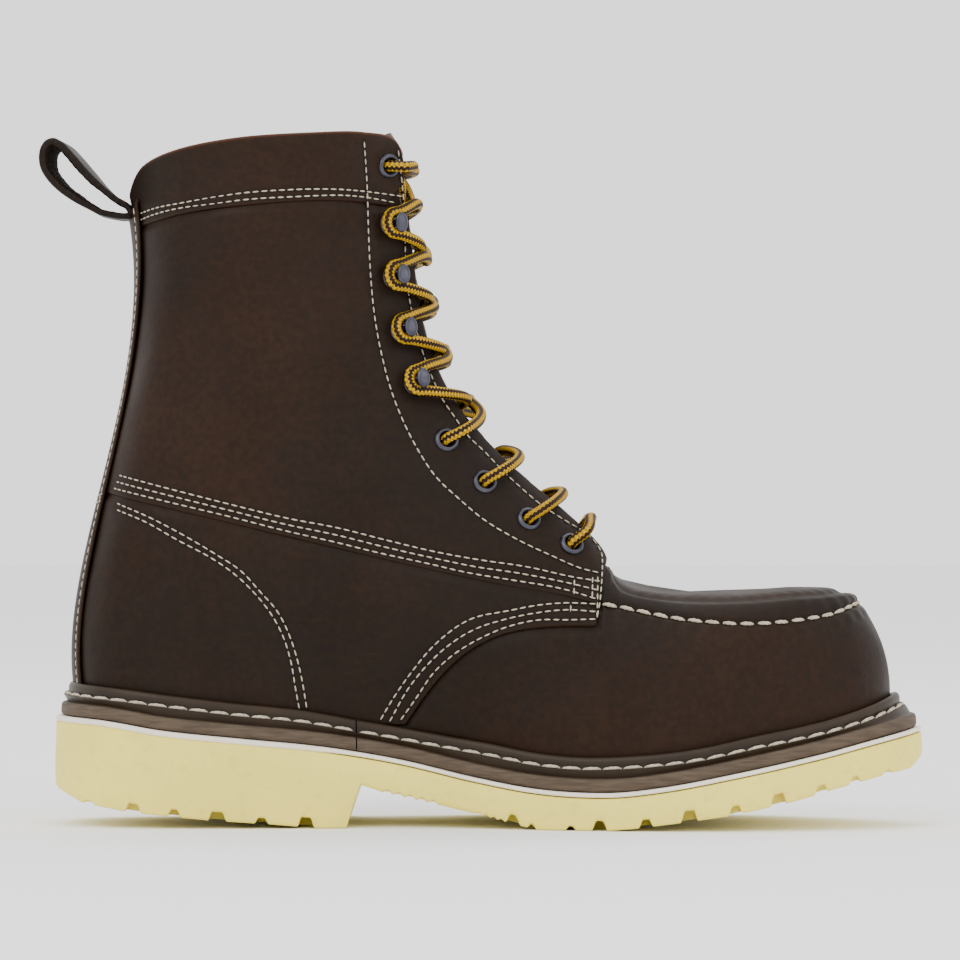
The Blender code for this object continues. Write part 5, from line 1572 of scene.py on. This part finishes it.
class BOOT_OT_hardware(bpy.types.Operator):
    """Rolled eyelets and speed hooks"""
    bl_idname = "boot.hardware"
    bl_label = "Eyelets and hooks"

    def execute(self, context):
        colours = settings(context)[1]
        paint = paint_named("gunmetal_plate", metal_finish, colours.metal, 0.34)
        ring = [(2.6, -4.2), (2.6, -0.2), (2.66, 0.5), (2.85, 0.98), (3.15, 1.18), (3.5, 1.16), (3.9, 0.95),
                (4.25, 0.60), (4.42, 0.22), (4.42, 0.0), (4.2, -0.12), (3.2, -0.1), (3.1, -4.2), (2.6, -4.2)]
        base = [(0.0, 0.25), (1.5, 0.25), (1.5, 1.15), (2.3, 1.20), (3.2, 1.05), (4.0, 0.75), (4.45, 0.35),
                (4.5, 0.0), (4.3, -0.1), (0.0, -0.1)]
        neck = [(0.0, 0.3), (1.75, 0.3), (1.35, 1.6), (1.25, 3.6), (1.45, 5.4), (1.9, 6.5), (2.6, 7.0), (2.85, 7.5),
                (2.75, 8.0), (2.2, 8.4), (1.2, 8.5), (0.0, 8.35)]
        for side, label in SIDES:
            for number, (x, z) in enumerate(EYELET_SPOTS, 1):
                centre, normal = seat(x, z, side)
                mesh = spun(ring, 36)
                seated(mesh, centre, normal)
                finish_piece("rolled_eyelet_%s_%d" % (label, number), mesh, paint,
                             stands_for=["eyelet_%s_%d" % (label, number)])
            for number, (x, z) in enumerate(HOOK_SPOTS, 1):
                centre, normal = seat(x, z, side)
                mesh = spun(base, 32)
                head = spun(neck, 28)
                for vert in head.verts:
                    high = float(smooth((vert.co.z - 0.0045) / 0.0025))
                    vert.co.x *= 1 + 0.28 * high
                    vert.co.y *= 1 - 0.16 * high
                mesh.from_mesh(mesh_data(head, "neck"))
                seated(mesh, centre, normal)
                finish_piece("speed_hook_%s_%d" % (label, number), mesh, paint,
                             stands_for=["hook_%s_%d" % (label, number)])
        return {"FINISHED"}


class BOOT_OT_pull_loop(bpy.types.Operator):
    """Folded leather strap at the heel"""
    bl_idname = "boot.pull_loop"
    bl_label = "Pull loop"

    def execute(self, context):
        colours = settings(context)[1]
        points = np.array([(7.4, 1.4), (2.4, 4.8), (-2.6, 8.9), (-8, 14.2), (-13, 20), (-17.5, 24.4), (-20, 25.6),
                           (-22.6, 25.0), (-24.6, 22.6), (-25.4, 19), (-25, 15.5), (-22.6, 11.0), (-19, 7.2),
                           (-13.6, 3.3), (-8, 0.3), (-3.6, -1.8), (0.5, -2.8), (4.5, -3.3), (7.8, -2.8), (8.4, -0.6)])
        around = np.concatenate([points, points[:1]])
        run = run_along(around)
        even = np.linspace(0, run[-1], 181)
        path = spline(np.concatenate([run[-4:-1] - run[-1], run, run[1:4] + run[-1]]),
                      np.concatenate([points[-3:], around, points[1:4]]), even)
        ahead = unit(np.roll(path[:-1], -1, axis=0) - np.roll(path[:-1], 1, axis=0))
        ahead = np.concatenate([ahead, ahead[:1]])
        out = np.stack([-ahead[:, 1], ahead[:, 0]], -1)
        if np.mean(((path - path.mean(axis=0)) * out).sum(-1)) < 0:
            out = -out
        half = LOOP_WIDTH / 2 / MM
        thick = 2.4
        ring = [(-0.9, -half), (-0.35, 0.25 - half), (0, 0.9 - half), (-0.12, 2.6 - half), (0, -half * 0.5), (0, 0),
                (0, half * 0.5), (-0.12, half - 2.6), (0, half - 0.9), (-0.35, half - 0.25), (-0.9, half),
                (0.5 - thick, half), (-thick, half - 0.5), (-thick, half * 0.5), (-thick, 0), (-thick, -half * 0.5),
                (-thick, 0.5 - half), (0.5 - thick, -half), (-0.9, -half)]
        away = smooth((np.hypot(path[:, 0] - 2, path[:, 1]) - 3) / 16)
        wander = 0.10 * np.sin(even * 0.7) + 0.07 * np.sin(even * 2.3)
        columns = []
        masks = []
        for depth, y in ring:
            place = path + out * (depth * (0.92 + 0.3 * away))[:, None]
            far = away * (y + half) / (2 * half)
            columns.append(np.column_stack([place[:, 0] + far * 2.6, y + wander * (abs(y) > 5),
                                            place[:, 1] - far * 0.9]) + wander[:, None] * 0.5 * (depth < -1.0))
            # first channel: 1 on the crease lines is painted shade in them; 0.45 elsewhere darkens the whole strap
            masks.append(np.tile([1.0 if depth == -0.12 else 0.45, 0.0, 0.0], (len(path), 1)))
        grid = np.stack(columns, 1) * MM + np.array(LOOP_HINGE)
        mesh = seal(grid_piece(grid, masks=np.stack(masks, 1), wrap=True), 2e-6)
        for polygon in mesh.faces:
            local = (np.array(polygon.calc_center_median()) - LOOP_HINGE) / MM
            flesh = np.min(np.linalg.norm(path - local[[0, 2]], axis=1)) > thick - 0.45
            polygon.material_index = int(flesh)
        strap = finish_piece("pull_loop_strap", mesh, leather_paint(colours), body=None,
                             stands_for=["pull_loop"])
        strap.data.materials.append(paint_named("flesh_side", suede_finish, (0.0085, 0.0045, 0.0022)))
        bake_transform(strap)
        return {"FINISHED"}


class BOOT_OT_inner_parts(bpy.types.Operator):
    """Finishes of the parts inside the boot: cap, shank, cork, board, counter and stays"""
    bl_idname = "boot.inner_parts"
    bl_label = "Inner parts"

    def execute(self, context):
        colours = settings(context)[1]
        steel = paint_named("pressed_steel", metal_finish, (0.46, 0.47, 0.49), 0.30)
        cork = paint_named("ground_cork", fibre_finish, (0.34, 0.20, 0.10), 350.0)
        board = paint_named("fibre_board", fibre_finish, (0.40, 0.29, 0.18), 800.0)
        hidden = paint_named("plain_leather", leather_finish, colours, False)
        for name, paint in (("steel_toe_cap", steel), ("shank", steel), ("cork_filler", cork),
                            ("insole_board", board), ("heel_counter", board), ("eyestay_inner", hidden),
                            ("eyestay_outer", hidden)):
            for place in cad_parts[name].material_slots:
                place.material = paint
        return {"FINISHED"}


# ---------------------------------------------------------------- stage
def area_light(name, place, target, size, power):
    """A round white lamp turned to its target."""
    data = bpy.data.lights.new(name, "AREA")
    data.shape = "DISK"
    data.size = size
    data.energy = power
    lamp = bpy.data.objects.new(name, data)
    bpy.context.scene.collection.objects.link(lamp)
    lamp.location = place
    lamp.rotation_mode = "QUATERNION"
    lamp.rotation_quaternion = (Vector(target) - Vector(place)).to_track_quat("-Z", "Y")


class BOOT_OT_stage(bpy.types.Operator):
    """Pale floor, white world light, soft lights and the side-on camera"""
    bl_idname = "boot.stage"
    bl_label = "Stage"

    def execute(self, context):
        mesh = bmesh.new()
        bmesh.ops.create_grid(mesh, x_segments=2, y_segments=2, size=6.0)
        floor = bpy.data.objects.new("floor", mesh_data(mesh, "floor"))
        context.scene.collection.objects.link(floor)
        mat, _, shader = shader_of("studio_white")
        shader.inputs["Base Color"].default_value = (0.93, 0.93, 0.93, 1)
        shader.inputs["Roughness"].default_value = 0.9
        shader.inputs["Specular IOR Level"].default_value = 0.1
        floor.data.materials.append(mat)
        world = bpy.data.worlds.new("studio")
        world.use_nodes = True
        world.node_tree.nodes["Background"].inputs[0].default_value = (1, 1, 1, 1)
        world.node_tree.nodes["Background"].inputs[1].default_value = 1.7
        context.scene.world = world
        area_light("key", (-0.9, -1.5, 1.5), (0, 0, 0.1), 1.2, 15)
        area_light("fill", (1.4, -1.3, 0.9), (0.02, 0, 0.08), 1.2, 7)
        area_light("top", (0.0, 0.3, 1.7), (0, 0, 0.1), 1.4, 10)
        lens = bpy.data.cameras.new("camera")
        lens.lens = 210.6
        lens.sensor_width = 36
        lens.clip_start = 0.05
        lens.clip_end = 60
        camera = bpy.data.objects.new("camera", lens)
        context.scene.collection.objects.link(camera)
        camera.location = (0.0004, -2.0, 0.122)
        camera.rotation_euler = (math.pi / 2, 0, 0)
        context.scene.camera = camera
        return {"FINISHED"}


# ---------------------------------------------------------------- sidebar
PIECES = ("stage", "inner_parts", "sides", "toe", "backstay", "lining", "sole", "welt", "lace", "tongue", "hardware",
          "pull_loop", "stitching")


class BOOT_PT_sidebar(bpy.types.Panel):
    """Sizes, colours and pieces of the boot"""
    bl_idname = "BOOT_PT_sidebar"
    bl_label = "Work Boot"
    bl_space_type = "VIEW_3D"
    bl_region_type = "UI"
    bl_category = "Boot"

    def draw(self, context):
        sizes, colours = settings(context)
        for group in (sizes, colours):
            column = self.layout.column()
            for key in group.bl_rna.properties.keys():
                if key not in ("rna_type", "name"):
                    column.prop(group, key)
        for piece in PIECES:
            self.layout.operator("boot." + piece)


CLASSES = (BootSizes, BootColours, BOOT_OT_stage, BOOT_OT_inner_parts, BOOT_OT_sides, BOOT_OT_toe, BOOT_OT_backstay,
           BOOT_OT_lining, BOOT_OT_sole, BOOT_OT_welt, BOOT_OT_lace, BOOT_OT_tongue, BOOT_OT_hardware,
           BOOT_OT_pull_loop, BOOT_OT_stitching, BOOT_PT_sidebar)


def register():
    """Adds the operators, the panel and the settings."""
    for item in CLASSES:
        bpy.utils.register_class(item)
    bpy.types.Scene.boot_sizes = bpy.props.PointerProperty(type=BootSizes)
    bpy.types.Scene.boot_colours = bpy.props.PointerProperty(type=BootColours)


def unregister():
    """Takes them away again."""
    del bpy.types.Scene.boot_sizes
    del bpy.types.Scene.boot_colours
    for item in reversed(CLASSES):
        bpy.utils.unregister_class(item)


def main():
    """Builds all pieces in order."""
    register()
    for piece in PIECES:
        getattr(bpy.ops.boot, piece)()


if __name__ == "__main__":
    main()
